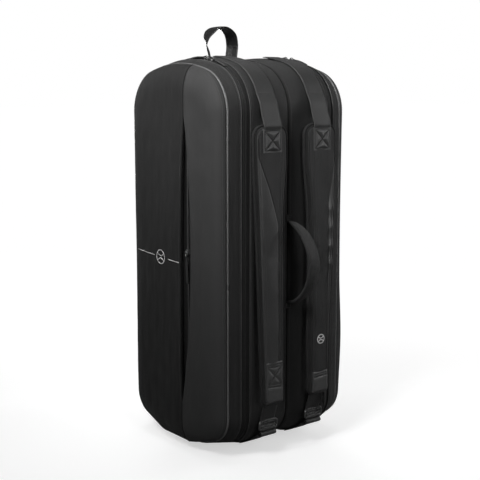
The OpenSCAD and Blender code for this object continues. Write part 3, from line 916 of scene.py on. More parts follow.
def sew_round(name, body, side, x, lift):
    """A stitch line that follows the gusset round the bag."""
    s = np.linspace(0, AROUND, 700, endpoint=False)
    off = bulge(x) + lift(s, np.full_like(s, x)) + 0.00012
    y, z, normal_y, normal_z = on_outline(s)
    path = xyz(x, y + off * normal_y, z + off * normal_z)
    out = xyz(0.0, normal_y, normal_z)
    sew(name, body, "ballistic_fabric", path, out, side=side, closed=True)


def build_lid_gusset(letter, side):
    """Outer fabric of a lid between the zip and the piping, with the piping cord."""
    lid = f"lid_{letter}"
    hem = LID_HEM_X + np.array([0.0010, 0.0020, 0.0026, 0.0034, 0.0040, 0.005, 0.0075, 0.010, 0.0112])
    xs = np.concatenate([hem, np.linspace(LID_HEM_X + 0.013, PIPING_X - 0.0026, 8)])
    edge = float(bulge(LID_HEM_X))
    skin = []
    for outwards, down in [(0.0003, 0.0015), (0, 0.0009), (0.0002, 0.0003)]:
        skin.append((LID_HEM_X + outwards, edge - down))
    skin += under_skin(xs, 0)
    skin += [(PIPING_X - 0.0010, -DOME_EDGE - 0.0036)]
    inner = under_skin(np.linspace(PIPING_X - 0.004, LID_HEM_X + 0.002, 8), 0.0022)
    lift = fabric_lift(20 + side, LID_HEM_X)
    obj = sweep(f"{lid}_gusset_fabric", skin + inner, side, lift=lift)
    place(obj, lid, "ballistic_fabric", f"{lid}_gusset")
    sew_round(f"{lid}_gusset_stitches", lid, side, LID_HEM_X + 0.0030, lift)

    # Pale cord along the lid's hem: painted highlight of the fold.
    edge_cord(f"{lid}_hem_roll", lid, side, LID_HEM_X + 0.0006, edge - 0.0002, 0.00085, FOLD_HIGHLIGHT)
    # Dark cords in the grooves either side of the piping: painted shadow of the seams.
    painted_groove_shadow = MATERIALS["seam_binding"]
    edge_cord(f"{lid}_gusset_seam", lid, side, PIPING_X - 0.0028, -DOME_EDGE - 0.0006, 0.0010, painted_groove_shadow)
    edge_cord(f"{lid}_panel_seam", lid, side, PIPING_X + 0.0026, -DOME_EDGE - 0.0030, 0.0010, painted_groove_shadow)
    wrap = lambda s, x: 0.0002 * swell(s, x, 5, 0.05)
    # The piping's pale colour paints its highlight.
    ring = oval(PIPING_X, -DOME_EDGE - 0.001, 0.0024, 0.0024, 14)
    place(sweep(f"{lid}_piping_cord", ring, side, gap=0.003, lift=wrap), lid, "piping", f"{lid}_piping")


def ribbed_coil(name, x, depth, side, span):
    """Half of a zip's coil: a row of close moulded turns."""
    ring = oval(x, float(bulge(x)) - depth, 0.0013, 0.0012, 6)
    turns = lambda s, _: 0.00035 * np.sin(s * 2 * math.pi / 0.0016)
    return sweep(name, ring, side, span, gap=0.0006, lift=turns)


def build_zip(letter, side):
    """Main zip: smooth tapes whose folded edges meet over a hidden coil."""
    front_end, rear_end = s_at_angle(ZIP_END_ANGLE), s_at_angle(180 - ZIP_END_ANGLE)
    span = (front_end, rear_end)
    share = np.array([0, 0.3, 0.6, 0.76, 0.80, 0.84, 0.92, 0.97, 1.0])
    fold = np.array([0, 0, 0, 0, 0.0003, 0.0007, 0.0010, 0.0008, 0.0002])
    ruffle = lambda s, x: 0.00015 * swell(s, x, 31, 0.03)
    for owner, body, sign, deep in [
        ("core", "core", 1, TAPE_TOP),
        ("lid", f"lid_{letter}", -1, TAPE_TOP + 0.0003),
    ]:
        inner_x, outer_x = ZIP_X - sign * TAPE_W, ZIP_X - sign * 0.0003
        xs = inner_x + (outer_x - inner_x) * share
        profile = under_skin(xs, deep - fold) + under_skin(xs[::-1][1:], deep + 0.0009)
        node = f"zip_{letter}_{owner}_tape"
        place(sweep(node + "_weave", profile, side, span, lift=ruffle), body, "zip_tape", node)
        coil_x = outer_x - sign * 0.0015
        coil = ribbed_coil(f"zip_{letter}_{owner}_coil", coil_x, deep + 0.0021, side, span)
        place(coil, body, "pull_rubber")

    xs = np.linspace(ZIP_X - TAPE_W, LID_HEM_X, 12)
    profile = under_skin(xs, 0.0017) + under_skin(xs[::-1], 0.0028)
    tuck = lambda s, x: 0.0002 * swell(s, x, 8, 0.03)
    below = (rear_end - AROUND, front_end)
    base = sweep(f"hinge_{letter}_fabric", profile, side, below, lift=tuck)
    start, end = ((side * (ZIP_X + d), 0, 0.006) for d in (-0.004, 0.004))
    drape(base, ("core", f"lid_{letter}"), start, end, "ballistic_fabric", f"hinge_strip_{letter}")


def build_core_inside(letter, side):
    """Foam and lining of a compartment."""
    xs = np.linspace(0.0045, FOAM_EDGE_X, 16)
    for name, depth, thick, slot, soft in [
        ("gusset_foam", SHELL_T + 0.0002, 0.0043, "foam", 0.0002),
        ("lining", SHELL_T + 0.0049, 0.0008, LININGS[letter], 0.0009),
    ]:
        profile = under_skin(xs, depth) + under_skin(xs[::-1], depth + thick)
        sag = lambda s, x: soft * (swell(s, x, 41 + side, 0.05) - 1.0) * step(FOAM_EDGE_X - x, 0, 0.01)
        obj = sweep(f"{name}_{letter}_soft", profile, side, gap=0.008, lift=sag)
        place(obj, "core", slot, f"{name}_{letter}")
    far_x = FOAM_EDGE_X + 0.0047
    bound = under_skin([FOAM_EDGE_X, far_x], np.array([0.0069, 0.0060]))
    bound += under_skin([far_x, FOAM_EDGE_X], np.array([0.0072, 0.0081]))
    place(sweep(f"lining_{letter}_binding", bound, side, gap=0.01), "core", "seam_binding")


def build_centre():
    """Recessed binding between the gussets, the padded divider and the load sheets."""
    ring = oval(0, -VALLEY - 0.0008, 0.0017, 0.0019, 12)
    fold = lambda s, x: 0.0002 * np.sin(s * 2 * math.pi / 0.011) + 0.0002 * swell(s, x, 51, 0.04)
    seam = sweep("centre_seam_binding", ring, gap=0.004, lift=fold)
    place(seam, "core", "seam_binding", "centre_piping")

    edge = 0.0146
    sheets = []
    for side in (-1, 1):
        y, z = whole_sheet(edge)
        quilt = np.abs(np.sin(math.pi * (y + z) / 0.055) * np.sin(math.pi * (y - z) / 0.055)) ** 0.35
        depth = inset(y, z)
        x = 0.0025 * step(depth, edge - 0.001, edge + 0.005) * (0.45 + 0.55 * quilt) + 0.00005
        sheets.append(sheet_object(f"divider_{side + 1}", xyz(x, y, z), side))
    divider = join("centre_divider_pad", sheets)
    place(divider, "core", "divider_fabric", "centre_divider")
    ring = oval(0, 0.0002 - edge, 0.0026, 0.0022, 12)
    place(sweep("divider_edge_binding", ring, gap=0.008), "core", "seam_binding")

    for letter, side in SIDES.items():
        low, high = Vector((0.008, -0.1466, 0.095)), Vector((0.084, -0.1452, 0.645))
        sheet = rounded_slab(f"frame_sheet_{letter}", low, high, 0.012, side, ribs=6)
        place(sheet, "core", "frame_sheet", *(["frame_sheets"] if letter == "a" else []))


def rounded_slab(name, low, high, corner, side, ribs):
    """A thin upright sheet with round corners and pressed ribs."""
    half_x, half_y, half_z = (high - low) / 2
    centre = (low + high) / 2
    t = np.linspace(0, 1, 90)
    z = half_z * np.sin((t - 0.5) * math.pi)
    cut = np.clip((np.abs(z) - (half_z - corner)) / corner, 0, 1)
    wide = half_x - corner * (1 - np.sqrt(1 - cut**2))
    u = np.linspace(-1, 1, 25)
    rib = 0.0003 * np.clip(np.sin((u * 0.5 + 0.5) * math.pi * ribs), 0, 1) * (np.abs(u) < 0.96)
    front = xyz(wide[:, None] * u, -half_y - rib[None], z[:, None])
    back = xyz(wide[:, None] * u[::-1], half_y - rib[None, ::-1], z[:, None])
    points = np.concatenate([front, back], 1) + np.array(centre)
    across = np.linspace(0, 4 * half_x, points.shape[1] + 1)
    return lattice(name, points, across, z, shut=True, side=side)


def edge_path(low, high, share, edge):
    """Places (y, z) at shares of a run of the outline, inset by an edge."""
    return np.stack(on_outline(low + (high - low) * share, -edge)[:2], -1)


def whole_sheet(edge):
    """Depths and heights of a grid over the whole side of the bag, inset by an edge."""
    u, v = eased(60), eased(110)
    left = edge_path(FRONT_TOE_S, FRONT_CORNER_S, v, edge)
    right = edge_path(REAR_TOE_S, REAR_CORNER_S, v, edge)
    bottom = edge_path(FRONT_TOE_S, REAR_TOE_S - AROUND, u, edge)
    top = edge_path(FRONT_CORNER_S, REAR_CORNER_S, u, edge)
    grid = coons(left, right, bottom, top, u, v)
    return grid[..., 0], grid[..., 1]


def sheet_object(name, points, side):
    """An open sheet through a grid of points, with its outside facing out."""
    across, along = lengths(points, 1), lengths(points, 0)
    obj = lattice(name, points, across, along, side=side)
    return face_out(obj, (side, 0, 0))


# ------------------------------------------------------------ side lids


def mouth(z, gape):
    """Edge of the pocket's mouth: the seam's depth plus a gape to one side."""
    share = np.clip((z - MOUTH_Z[0]) / (MOUTH_Z[1] - MOUTH_Z[0]), 0, 1)
    return MOUTH_Y + MOUTH_LEAN * (CORNER_Z - z) + gape * np.sin(math.pi * share) ** 0.75


def lid_height(side, y, z):
    """Outer face of a side lid: a sagging dome; lid B is slimmer at mid height and fuller below."""
    depth = inset(y, z)
    x = dome(depth, DOME_X, LID_FACE_X - DOME_X, DOME_EDGE)
    inner = step(depth, DOME_EDGE, DOME_EDGE + 0.03)
    soft = 0.0011 * swell(y, z, 61 + side, 0.17) + 0.0004 * swell(2 * y, z, 63 + side, 0.06)
    sag = 0.0012 * bell(z, 0.16, 0.12)
    edge = step(np.minimum(np.abs(y - mouth(z, -GAPE_FRONT)), np.abs(y - mouth(z, GAPE_BACK))), 0, 0.02)
    x = x + inner * (soft * (0.35 + 0.65 * edge) + sag)
    if side > 0:
        shoulder = step(depth, DOME_EDGE, DOME_EDGE + 0.008)
        x = x - shoulder * 0.0058 * bell(z, 0.49, 0.14)
        x = x + shoulder * (0.0068 - 0.004 * inner) * bell(z, 0.20, 0.10)
    return x


def half_grid(front, gape, away):
    """Grid (y, z) of one half of a lid, from the seam to the lid's edge."""
    columns, rows = (64, 150) if front else (96, 150)
    foot = s_on_foot(float(mouth(SEAM_Z[0], 0) + away), -DOME_EDGE)
    crown = s_on_top(float(mouth(SEAM_Z[1], 0) + away), -DOME_EDGE)
    u = 0.5 * eased(columns) + 0.5 * np.linspace(0, 1, columns) ** 0.9
    v = eased(rows)
    toe, corner = (FRONT_TOE_S, FRONT_CORNER_S) if front else (REAR_TOE_S, REAR_CORNER_S)
    bottom = edge_path(foot, toe if front else toe - AROUND, u, DOME_EDGE)
    top = edge_path(crown, corner, u, DOME_EDGE)
    outer = edge_path(toe, corner, v, DOME_EDGE)
    z = bottom[0, 1] + (top[0, 1] - bottom[0, 1]) * v
    inner = np.stack([mouth(z, gape) + away, z], -1)
    inner[0], inner[-1] = bottom[0], top[0]
    return coons(inner, outer, bottom, top, u, v)


def build_lid_half(letter, side, front):
    """One half of a side lid, from the piping to its folded edge in the pocket's mouth."""
    lid, fold = f"lid_{letter}", 0.0016
    name = f"{lid}_" + ("smooth_half" if front else "mesh_half")
    slot = "smooth_panel" if front else "ribbed_mesh"
    gape = -GAPE_FRONT if front else GAPE_BACK
    away = -fold if front else fold
    grid = half_grid(front, gape, away)
    y, z = grid[..., 0], grid[..., 1]
    x = lid_height(side, y, z)
    if front:
        x = x + 0.0006 * bell(np.abs(y - mouth(z, gape)), 0.006, 0.004)
    else:
        rib = 0.00009 * np.sin(2 * math.pi * (y + 0.004 * swell(y, z, 77, 0.12)) / 0.0125)
        patch = 0.5 + 0.5 * swell(y, z, 78, 0.14)
        x = x + rib * patch * step(inset(y, z), 0.02, 0.05)
    points = xyz(x, y, z)
    turned = mouth_fold(points, away, fold)

    # A dark tape turned in under the mouth's edge: painted shade that makes the deep slit dark.
    inside = turned[5:-5, :6] - (0, 0.25 * away, 0)
    tape = lattice(name + "_facing", inside, lengths(inside, 1), lengths(inside, 0), side=side)
    thicken(face_out(tape, (0, -away, 0)), 0.0003)
    place(tape, lid, "seam_binding")

    points = np.concatenate([turned, points], 1)
    obj = sheet_object(name, points, side)
    thicken(obj, 0.0012)
    place(obj, lid, slot, f"{lid}_" + ("panel" if front else "mesh"))

    seam = points[6:-6, 9 if front else 8] + (0.0003, 0, 0)
    sew(name + "_stitches", lid, slot, seam, (1, 0, 0), side=side)
    sew_edge(name + "_piping_stitches", lid, slot, side, front)


def sew_edge(name, lid, slot, side, front):
    """The stitch line beside the piping, on one half of a lid."""
    count = 900
    s = np.linspace(0, AROUND, count, endpoint=False)
    y, z, normal_y, normal_z = on_outline(s, -DOME_EDGE - 0.0022)
    keep = (y < mouth(z, 0) - 0.003) if front else (y > mouth(z, 0) + 0.003)
    order = np.roll(np.arange(count), -int(np.argmax(~keep)))
    order = order[keep[order]]
    path = xyz(lid_height(side, y, z) + 0.0002, y, z)[order]
    out = xyz(0.8, 0.6 * normal_y, 0.6 * normal_z)[order]
    sew(name, lid, slot, path, out, side=side)


def build_panel_seam(letter, side):
    """Sunk seam between the two halves of a lid, above and below the pocket's mouth: a dark cord that paints the
    shadow in the seam's groove.
    """
    for name, low, high in [
        ("upper", MOUTH_Z[1] - 0.004, SEAM_Z[1] - 0.0020),
        ("lower", SEAM_Z[0] + 0.0015, MOUTH_Z[0] + 0.004),
    ]:
        z = np.linspace(low, high, 60)
        y = mouth(z, 0)
        path = xyz(lid_height(side, y, z) - 0.0004, y, z)
        seam = cord(f"lid_{letter}_{name}_seam", path, 0.0015, up=(0, 1, 0), sides=8, side=side)
        place(seam, f"lid_{letter}", "seam_binding")


def mouth_fold(points, away, fold):
    """Columns that turn the panel's edge over and drop it to the pocket's zip tape."""
    x, y, z = points[:, 0].T
    share = np.clip((z - MOUTH_Z[0]) / (MOUTH_Z[1] - MOUTH_Z[0]), 0, 1)
    deep = 0.0012 + (LID_FACE_X - POCKET_TAPE_X - 0.0030) * np.sin(math.pi * share) ** 0.4
    deep = np.minimum(deep, np.maximum(x - DOME_X, 0.0012))
    edge_y = y - away
    columns = [xyz(x - fold - deep * drop, edge_y - away * 0.05, z) for drop in (1.0, 0.66, 0.33, 0.08)]
    for angle in np.radians((90, 60, 30)):
        cut, reach = fold * (1 - math.cos(angle)), away * (1 - math.sin(angle))
        columns.append(xyz(x - cut, edge_y + reach, z))
    return np.stack(columns, 1)


def build_lid_inside(letter, side):
    """Foam and lining of a side lid."""
    lid = f"lid_{letter}"
    foam_edge, lining_edge = 0.018, 0.023
    y, z = whole_sheet(foam_edge)
    x = dome(inset(y, z), PIPING_X + 0.0006, 0.0146, foam_edge) + 0.0003 * swell(y, z, 91, 0.05)
    pad = sheet_object(f"{lid}_foam_sheet", xyz(x, y, z), side)
    thicken(pad, 0.0038)
    place(pad, lid, "foam", f"{lid}_foam")

    y, z = whole_sheet(lining_edge)
    depth = inset(y, z)
    crease = 0.0008 * swell(y, z, 93, 0.06) + 0.0005 * swell(y, z, 94, 0.02)
    x = dome(depth, PIPING_X - 0.003, 0.0131, lining_edge) - 0.0006
    x = x + crease * step(depth, lining_edge, 0.04)
    lining = sheet_object(f"{lid}_lining_sheet", xyz(x, y, z), side)
    thicken(lining, 0.0007)
    slot = LININGS[letter]
    place(lining, lid, slot, f"{lid}_lining")
    skirt = [(PIPING_X - 0.003, -0.0232), (0.130, -0.0175)]
    skirt += [(0.122, -0.0122), (LID_HEM_X + 0.003, -0.0085)]
    skirt += [(x, off - 0.0008) for x, off in reversed(skirt)]
    tucks = lambda s, x: 0.0004 * swell(s, x, 95, 0.03)
    place(sweep(f"{lid}_lining_skirt", skirt, side, gap=0.008, lift=tucks), lid, slot)


def build_pocket_zip(letter, side):
    """Tape and coil across the side pocket's mouth."""
    lid = f"lid_{letter}"
    z = np.linspace(MOUTH_Z[0] + 0.005, MOUTH_Z[1] - 0.005, 110)
    low, high = mouth(z, -GAPE_FRONT) - 0.0055, mouth(z, GAPE_BACK) + 0.0055
    t = np.linspace(0, 1, 26)
    y = low[:, None] + (high - low)[:, None] * t
    tall = np.broadcast_to(z[:, None], y.shape)
    hump = 0.0004 * bell(y, POCKET_ZIP_Y, 0.0022) - 0.0004 * bell(y, POCKET_ZIP_Y, 0.0003)
    x = POCKET_TAPE_X + 0.0009 + hump + 0.0003 * swell(y, tall, 99, 0.02)
    tape = sheet_object(f"pocket_{letter}_zip_weave", xyz(x, y, tall), side)
    thicken(tape, 0.0009)
    # The tape takes the darker binding fabric: painted shade in the pocket's deep mouth.
    place(tape, lid, "zip_tape", f"pocket_{letter}_zip", finish=MATERIALS["seam_binding"])
    rows = np.arange(MOUTH_Z[0] + 0.008, MOUTH_Z[1] - 0.008, 0.0007)
    path = xyz(POCKET_TAPE_X + 0.0020, POCKET_ZIP_Y, rows)
    radius = 0.0017 + 0.0003 * np.sin(rows * 2 * math.pi / 0.0021)
    coil = cord(f"pocket_{letter}_coil", path, radius, up=(1, 0, 0), sides=8, side=side)
    place(coil, lid, "pull_rubber")


def ribbon_print(name, places, width):
    """A thin printed line on lid A through places (y, z)."""
    y, z = np.asarray(places, float).T
    path = xyz(lid_height(SIDES["a"], y, z) + 0.0003, y, z)
    across = np.cross(frames(path), np.array([1.0, 0, 0]))
    return strip(name, path, across, width, 0.0004, cols=5, side=SIDES["a"])


def ball_emblem(centre, radius, reach, bend, half, counts):
    """A ring and the two bows inside it: three lists of places (across, up)."""
    bow = np.linspace(-half, half, counts[1])
    curves = [oval(*centre, radius, radius, counts[0])]
    for sign in (-1, 1):
        up = centre[1] + sign * (bend[0] - bend[1] * np.cos(bow * 1.45))
        curves.append(np.stack([centre[0] + reach * bow, up], -1))
    return curves


def build_side_emblem():
    """A ring with two crossing arcs between two thin lines."""
    centre_y, centre_z, slope = 0.033, 0.377, 0.06
    ring, *bows = ball_emblem((centre_y, centre_z), 0.0134, 0.0118, (0.0098, 0.0075), 0.95, (48, 22))
    parts = [ribbon_print("ring", np.concatenate([ring, ring[:2]]), 0.0014)]
    for number, bow in enumerate(bows):
        parts.append(ribbon_print(f"bow{number}", bow, 0.0014))
    for low, high in [(-0.028, 0.008), (0.055, 0.117)]:
        y = np.linspace(low, high, 24)
        z = centre_z + slope * (y - centre_y)
        parts.append(ribbon_print(f"line{low}", np.stack([y, z], -1), 0.0013))
    place(join("side_emblem_print", parts), "lid_a", "emblem_print", "side_emblem")


# ------------------------------------------------------------ zip hardware


def crown_frame(side, depth, rear):
    """Local frame on a main zip: x across it, y along it, z out of the bag."""
    lift = float(bulge(ZIP_X - 0.005)) - TAPE_TOP + 0.0002
    lean = math.asin(-depth / CROWN_R)
    local = Matrix.Translation((ZIP_X, 0, CROWN_Z)) @ Matrix.Rotation(lean, 4, "X")
    local = local @ Matrix.Translation((0, 0, CROWN_R + lift))
    if rear:
        local = local @ Matrix.Rotation(math.pi, 4, "Z")
    return Matrix.Diagonal((side, 1, 1, 1)) @ local


def pocket_frame(side):
    """Local frame on a side pocket's zip, with its pull hanging down."""
    turn = Matrix.Rotation(math.pi / 2, 4, "Z") @ Matrix.Rotation(math.pi / 2, 4, "X")
    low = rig.box("pocket_b_slider")[0]
    local = Matrix.Translation((low.x, POCKET_ZIP_Y, 0.395)) @ turn
    return Matrix.Diagonal((side, 1, 1, 1)) @ local


def squared(wave, power):
    """Squares off a sine or cosine, to turn a circle into a rounded box."""
    return np.sign(wave) * np.abs(wave) ** power


def outline_plate(name, outline, low, high, bevel):
    """A plate with a given outline and rounded rims."""
    outline = np.asarray(outline, float)
    centre = outline.mean(0)
    arms = outline - centre
    shrink = lambda amount: centre + arms * (1 - amount / np.abs(arms).max())
    levels = [(low, bevel), (low + bevel * 0.3, bevel * 0.3), (low + bevel, 0)]
    levels += [(high - bevel, 0), (high - bevel * 0.3, bevel * 0.3), (high, bevel)]
    points = np.stack([xyz(*shrink(amount).T, z) for z, amount in levels])
    across = np.linspace(0, 0.03, len(outline) + 1)
    return lattice(name, points, across, np.linspace(0, high - low, len(levels)), shut=True)


def slider_object(name):
    """Die-cast slider: a heart-shaped top plate, a bridge for the pull and two flanges."""
    y = np.linspace(-0.0052, 0.0060, 15)
    half = 0.0044 - 0.0011 * step(y, 0.000, 0.0060) - 0.0026 * step(-y, 0.0018, 0.0056)
    outline = np.concatenate([np.stack([half, y], -1), np.stack([-half, y], -1)[::-1]])
    top = outline_plate("top", outline, 0.0009, 0.0024, 0.0005)
    low = outline_plate("low", outline * (0.9, 0.95), -0.0016, -0.0004, 0.0003)
    neck = outline_plate("neck", outline * (0.25, 0.3) + (0, 0.0012), -0.0008, 0.0012, 0.0001)
    arch = [(-0.0040, 0.0022), (-0.0034, 0.0048), (-0.0012, 0.0062)]
    arch += [(0.0014, 0.0062), (0.0036, 0.0048), (0.0042, 0.0022)]
    arch = smooth_path([(0, y, z) for y, z in arch], 22)
    bridge = cord("bridge", arch, 0.0008, flat=2.1, up=(1, 0, 0))
    return join(name, [top, low, neck, bridge])


def pull_object(length, width, drop):
    """Moulded pull: a metal ring at the slider, a neck and a ribbed grip."""
    turn = np.linspace(0, 2 * math.pi, 28, endpoint=False)
    loop = xyz(0.0026 * np.cos(turn), 0.0042 * np.sin(turn) - 0.0030, 0.0042 - 0.0009 * np.sin(turn))
    wire = cord("wire", loop, 0.0006, closed=True, up=(0, 0, 1), sides=8)
    end = 0.004 - length - width / 2
    y = np.linspace(-0.0055, end, 70)
    t = (y + 0.0055) / (end + 0.0055)
    half = 0.0021 + (width / 2 - 0.0021) * step(t, 0.10, 0.30)
    tip = np.clip((t - 0.90) / 0.10, 0, 1)
    half = half * np.sqrt(np.clip(1 - tip**2, 0.02, 1))
    ribs = 0.00035 * np.clip(np.sin((t - 0.45) * 2 * math.pi * 9), 0, 1) * ((t > 0.45) & (t < 0.85))
    thick = (0.0011 + 0.0003 * step(t, 0.1, 0.35) + ribs) * np.sqrt(np.clip(1 - tip**2, 0.05, 1))
    turn = np.linspace(0, 2 * math.pi, 20, endpoint=False)
    cx, cz = squared(np.cos(turn), 0.45), squared(np.sin(turn), 0.6)
    middle_z = 0.0036 - drop * t**1.6
    points = xyz(half[:, None] * cx, y[:, None], middle_z[:, None] + thick[:, None] * cz)
    grip = lattice("grip", points, np.linspace(0, 0.02, 21), np.abs(y), shut=True)
    return wire, grip


def build_slider(kind, local, pull, bodies, nodes):
    """A slider and its pull in their local frame; the wire loop is part of the pull."""
    slider = slider_object("slider")
    wire, grip = pull_object(*pull)
    for part, name, body, slot, replaced in [
        (slider, "slider_cast", bodies[0], "slider_metal", nodes[:1]),
        (wire, "pull_wire", bodies[1], "slider_metal", []),
        (grip, "pull_grip", bodies[1], "pull_rubber", nodes[1:]),
    ]:
        part.name = part.data.name = f"{kind}_{name}"
        part.data.transform(local)
        place(face_out(part), body, slot, *replaced)


def build_all_sliders():
    """Two sliders that meet on each main zip, and one on each side pocket."""
    crown_pull, pocket_pull = (0.044, 0.0105, 0.0066), (0.060, 0.007, 0.0016)
    for letter, side in SIDES.items():
        meet = -0.047 if letter == "a" else -0.033
        for end, shift in (("front", -0.009), ("rear", 0.009)):
            local = crown_frame(side, meet + shift, end == "rear")
            bodies = [f"slider_{letter}_{end}", f"pull_{letter}_{end}"]
            nodes = [f"zip_{letter}_slider_{end}", f"zip_{letter}_pull_{end}"]
            build_slider(f"zip_{letter}_{end}", local, crown_pull, bodies, nodes)
        bodies = [f"pocket_slider_{letter}", f"pocket_pull_{letter}"]
        nodes = [f"pocket_{letter}_slider", f"pocket_{letter}_pull"]
        build_slider(f"pocket_{letter}", pocket_frame(side), pocket_pull, bodies, nodes)


# ------------------------------------------------------------ straps


def between(z, *knots):
    """A distance at a height, from a few pairs (height, distance)."""
    return np.interp(z, *zip(*knots))


def pad_edges(z):
    """Inner and outer edge of a strap pad at a height, before its corners are rounded."""
    inner = between(
        z, (0.112, 0.033), (0.30, 0.030), (0.43, 0.0285), (0.49, 0.0265),
        (0.53, 0.0225), (0.56, 0.0190), (0.634, 0.0185),
    )
    outer = between(
        z, (0.112, 0.0835), (0.30, 0.0885), (0.48, 0.0935), (0.57, 0.0975), (0.634, 0.0975)
    )
    return inner, outer


def soft_edges(z, inset_by=0.0, top_round=0.020, low_round=0.010):
    """Edges of a strap layer with smooth steps and rounded ends."""
    reach = np.linspace(-0.018, 0.018, 13)
    weight = bell(reach, 0, 0.010)
    inner = sum(w * pad_edges(z + r)[0] for r, w in zip(reach, weight)) / weight.sum() + inset_by
    outer = sum(w * pad_edges(z + r)[1] for r, w in zip(reach, weight)) / weight.sum() - inset_by
    top = np.clip((z - (PAD_HIGH - inset_by - top_round)) / top_round, 0, 1)
    low = np.clip(((PAD_LOW + inset_by + low_round) - z) / low_round, 0, 1)
    cut = top_round * (1 - np.sqrt(1 - top**2)) + low_round * (1 - np.sqrt(1 - low**2))
    return inner + cut, outer - cut


def pad_plane(z):
    """Back of the hanging strap: it leans away from the bag as it goes down."""
    return PAD_BACK - PAD_LEAN * (HINGE_Z - z)


def layer_rows(inset_by, count=130):
    """Heights of a strap layer's rows, inset from the pad's ends."""
    t = np.linspace(0, 1, count)
    low, high = PAD_LOW + inset_by, PAD_HIGH - inset_by
    return low + (high - low) * (0.15 * eased(count) + 0.85 * t)


def pad_shape(name, side, thick, edge_thick):
    """Closed pillow of a strap pad."""
    z = layer_rows(0.0)
    inner, outer = soft_edges(z)
    u = np.linspace(-1, 1, 29)
    x = (inner + outer)[:, None] / 2 + (outer - inner)[:, None] / 2 * u
    end = np.minimum(z - z[0], z[-1] - z)
    fall = np.sqrt(np.clip(1 - (1 - np.clip(end / 0.006, 0, 1)) ** 2, 0.03, 1))
    full = edge_thick + (thick - edge_thick) * (1 - np.abs(u) ** 3)
    rim = np.sqrt(np.clip(1 - np.abs(u) ** 16, 0, 1))
    half = fall[:, None] * (full * rim)[None] / 2
    mid = pad_plane(z)[:, None] - thick / 2
    tall = np.broadcast_to(z[:, None], x.shape)
    front = xyz(x, mid - half, tall)
    back = xyz(x, mid + half, tall)[:, ::-1][:, 1:-1]
    points = np.concatenate([front, back], 1)
    across = np.linspace(0, 0.15, points.shape[1] + 1)
    return lattice(name, points, across, z, shut=True, side=side)


def inflate(obj, voxel, pressure, cap, pin):
    """Swells a closed pad in a short cloth simulation; no point moves further than the cap."""
    modify(obj, "REMESH", mode="VOXEL", voxel_size=voxel, use_smooth_shade=True)
    rest = np.array([v.co for v in obj.data.vertices])
    group = obj.vertex_groups.new(name="pin")
    group.add(np.nonzero(pin(rest))[0].tolist(), 1.0, "REPLACE")
    cloth = obj.modifiers.new("Cloth", "CLOTH")
    settings = cloth.settings
    settings.quality = 6
    settings.mass = 0.25
    settings.tension_stiffness = 12
    settings.compression_stiffness = 12
    settings.shear_stiffness = 5
    settings.bending_stiffness = 0.6
    settings.use_pressure = True
    settings.uniform_pressure_force = pressure
    settings.vertex_group_mass = "pin"
    settings.effector_weights.gravity = 0
    last = 20
    cloth.point_cache.frame_start, cloth.point_cache.frame_end = 1, last
    for number in range(1, last + 1):
        bpy.context.scene.frame_set(number)
    graph = bpy.context.evaluated_depsgraph_get()
    swollen = bpy.data.meshes.new_from_object(obj.evaluated_get(graph))
    moved = np.array([v.co for v in swollen.vertices])
    bpy.data.meshes.remove(swollen)
    obj.modifiers.clear()
    bpy.context.scene.frame_set(1)
    shift = moved - rest
    size = np.linalg.norm(shift, axis=1, keepdims=True)
    rest = rest + shift * np.minimum(1, cap / np.maximum(size, 1e-9))
    obj.data.vertices.foreach_set("co", rest.astype(np.float32).ravel())
    obj.data.update()
    modify(obj, "SUBSURF", levels=1)
    obj.data.polygons.foreach_set("use_smooth", [True] * len(obj.data.polygons))
    return obj


def front_finder(obj):
    """Returns a function that finds the front of an object at places (x, z)."""
    bm = bmesh.new()
    bm.from_mesh(obj.data)
    tree = BVHTree.FromBMesh(bm)
    bm.free()

    def find(x, z, fallback):
        hit, _, _, _ = tree.ray_cast(Vector((x, -0.4, z)), Vector((0, 1, 0)))
        return fallback if hit is None else min(hit.y, fallback)

    return find


def seam_line(hand, z):
    """Distance from the bag's middle of the seam that splits a strap's facing."""
    if hand == "l":
        return between(
            z, (0.112, 0.0500), (0.20, 0.0480), (0.33, 0.0465),
            (0.452, 0.0460), (0.518, 0.0663), (0.578, 0.0905),
        )
    return between(
        z, (0.112, 0.0770), (0.20, 0.0755), (0.33, 0.0735),
        (0.480, 0.0718), (0.518, 0.0810), (0.572, 0.0915),
    )


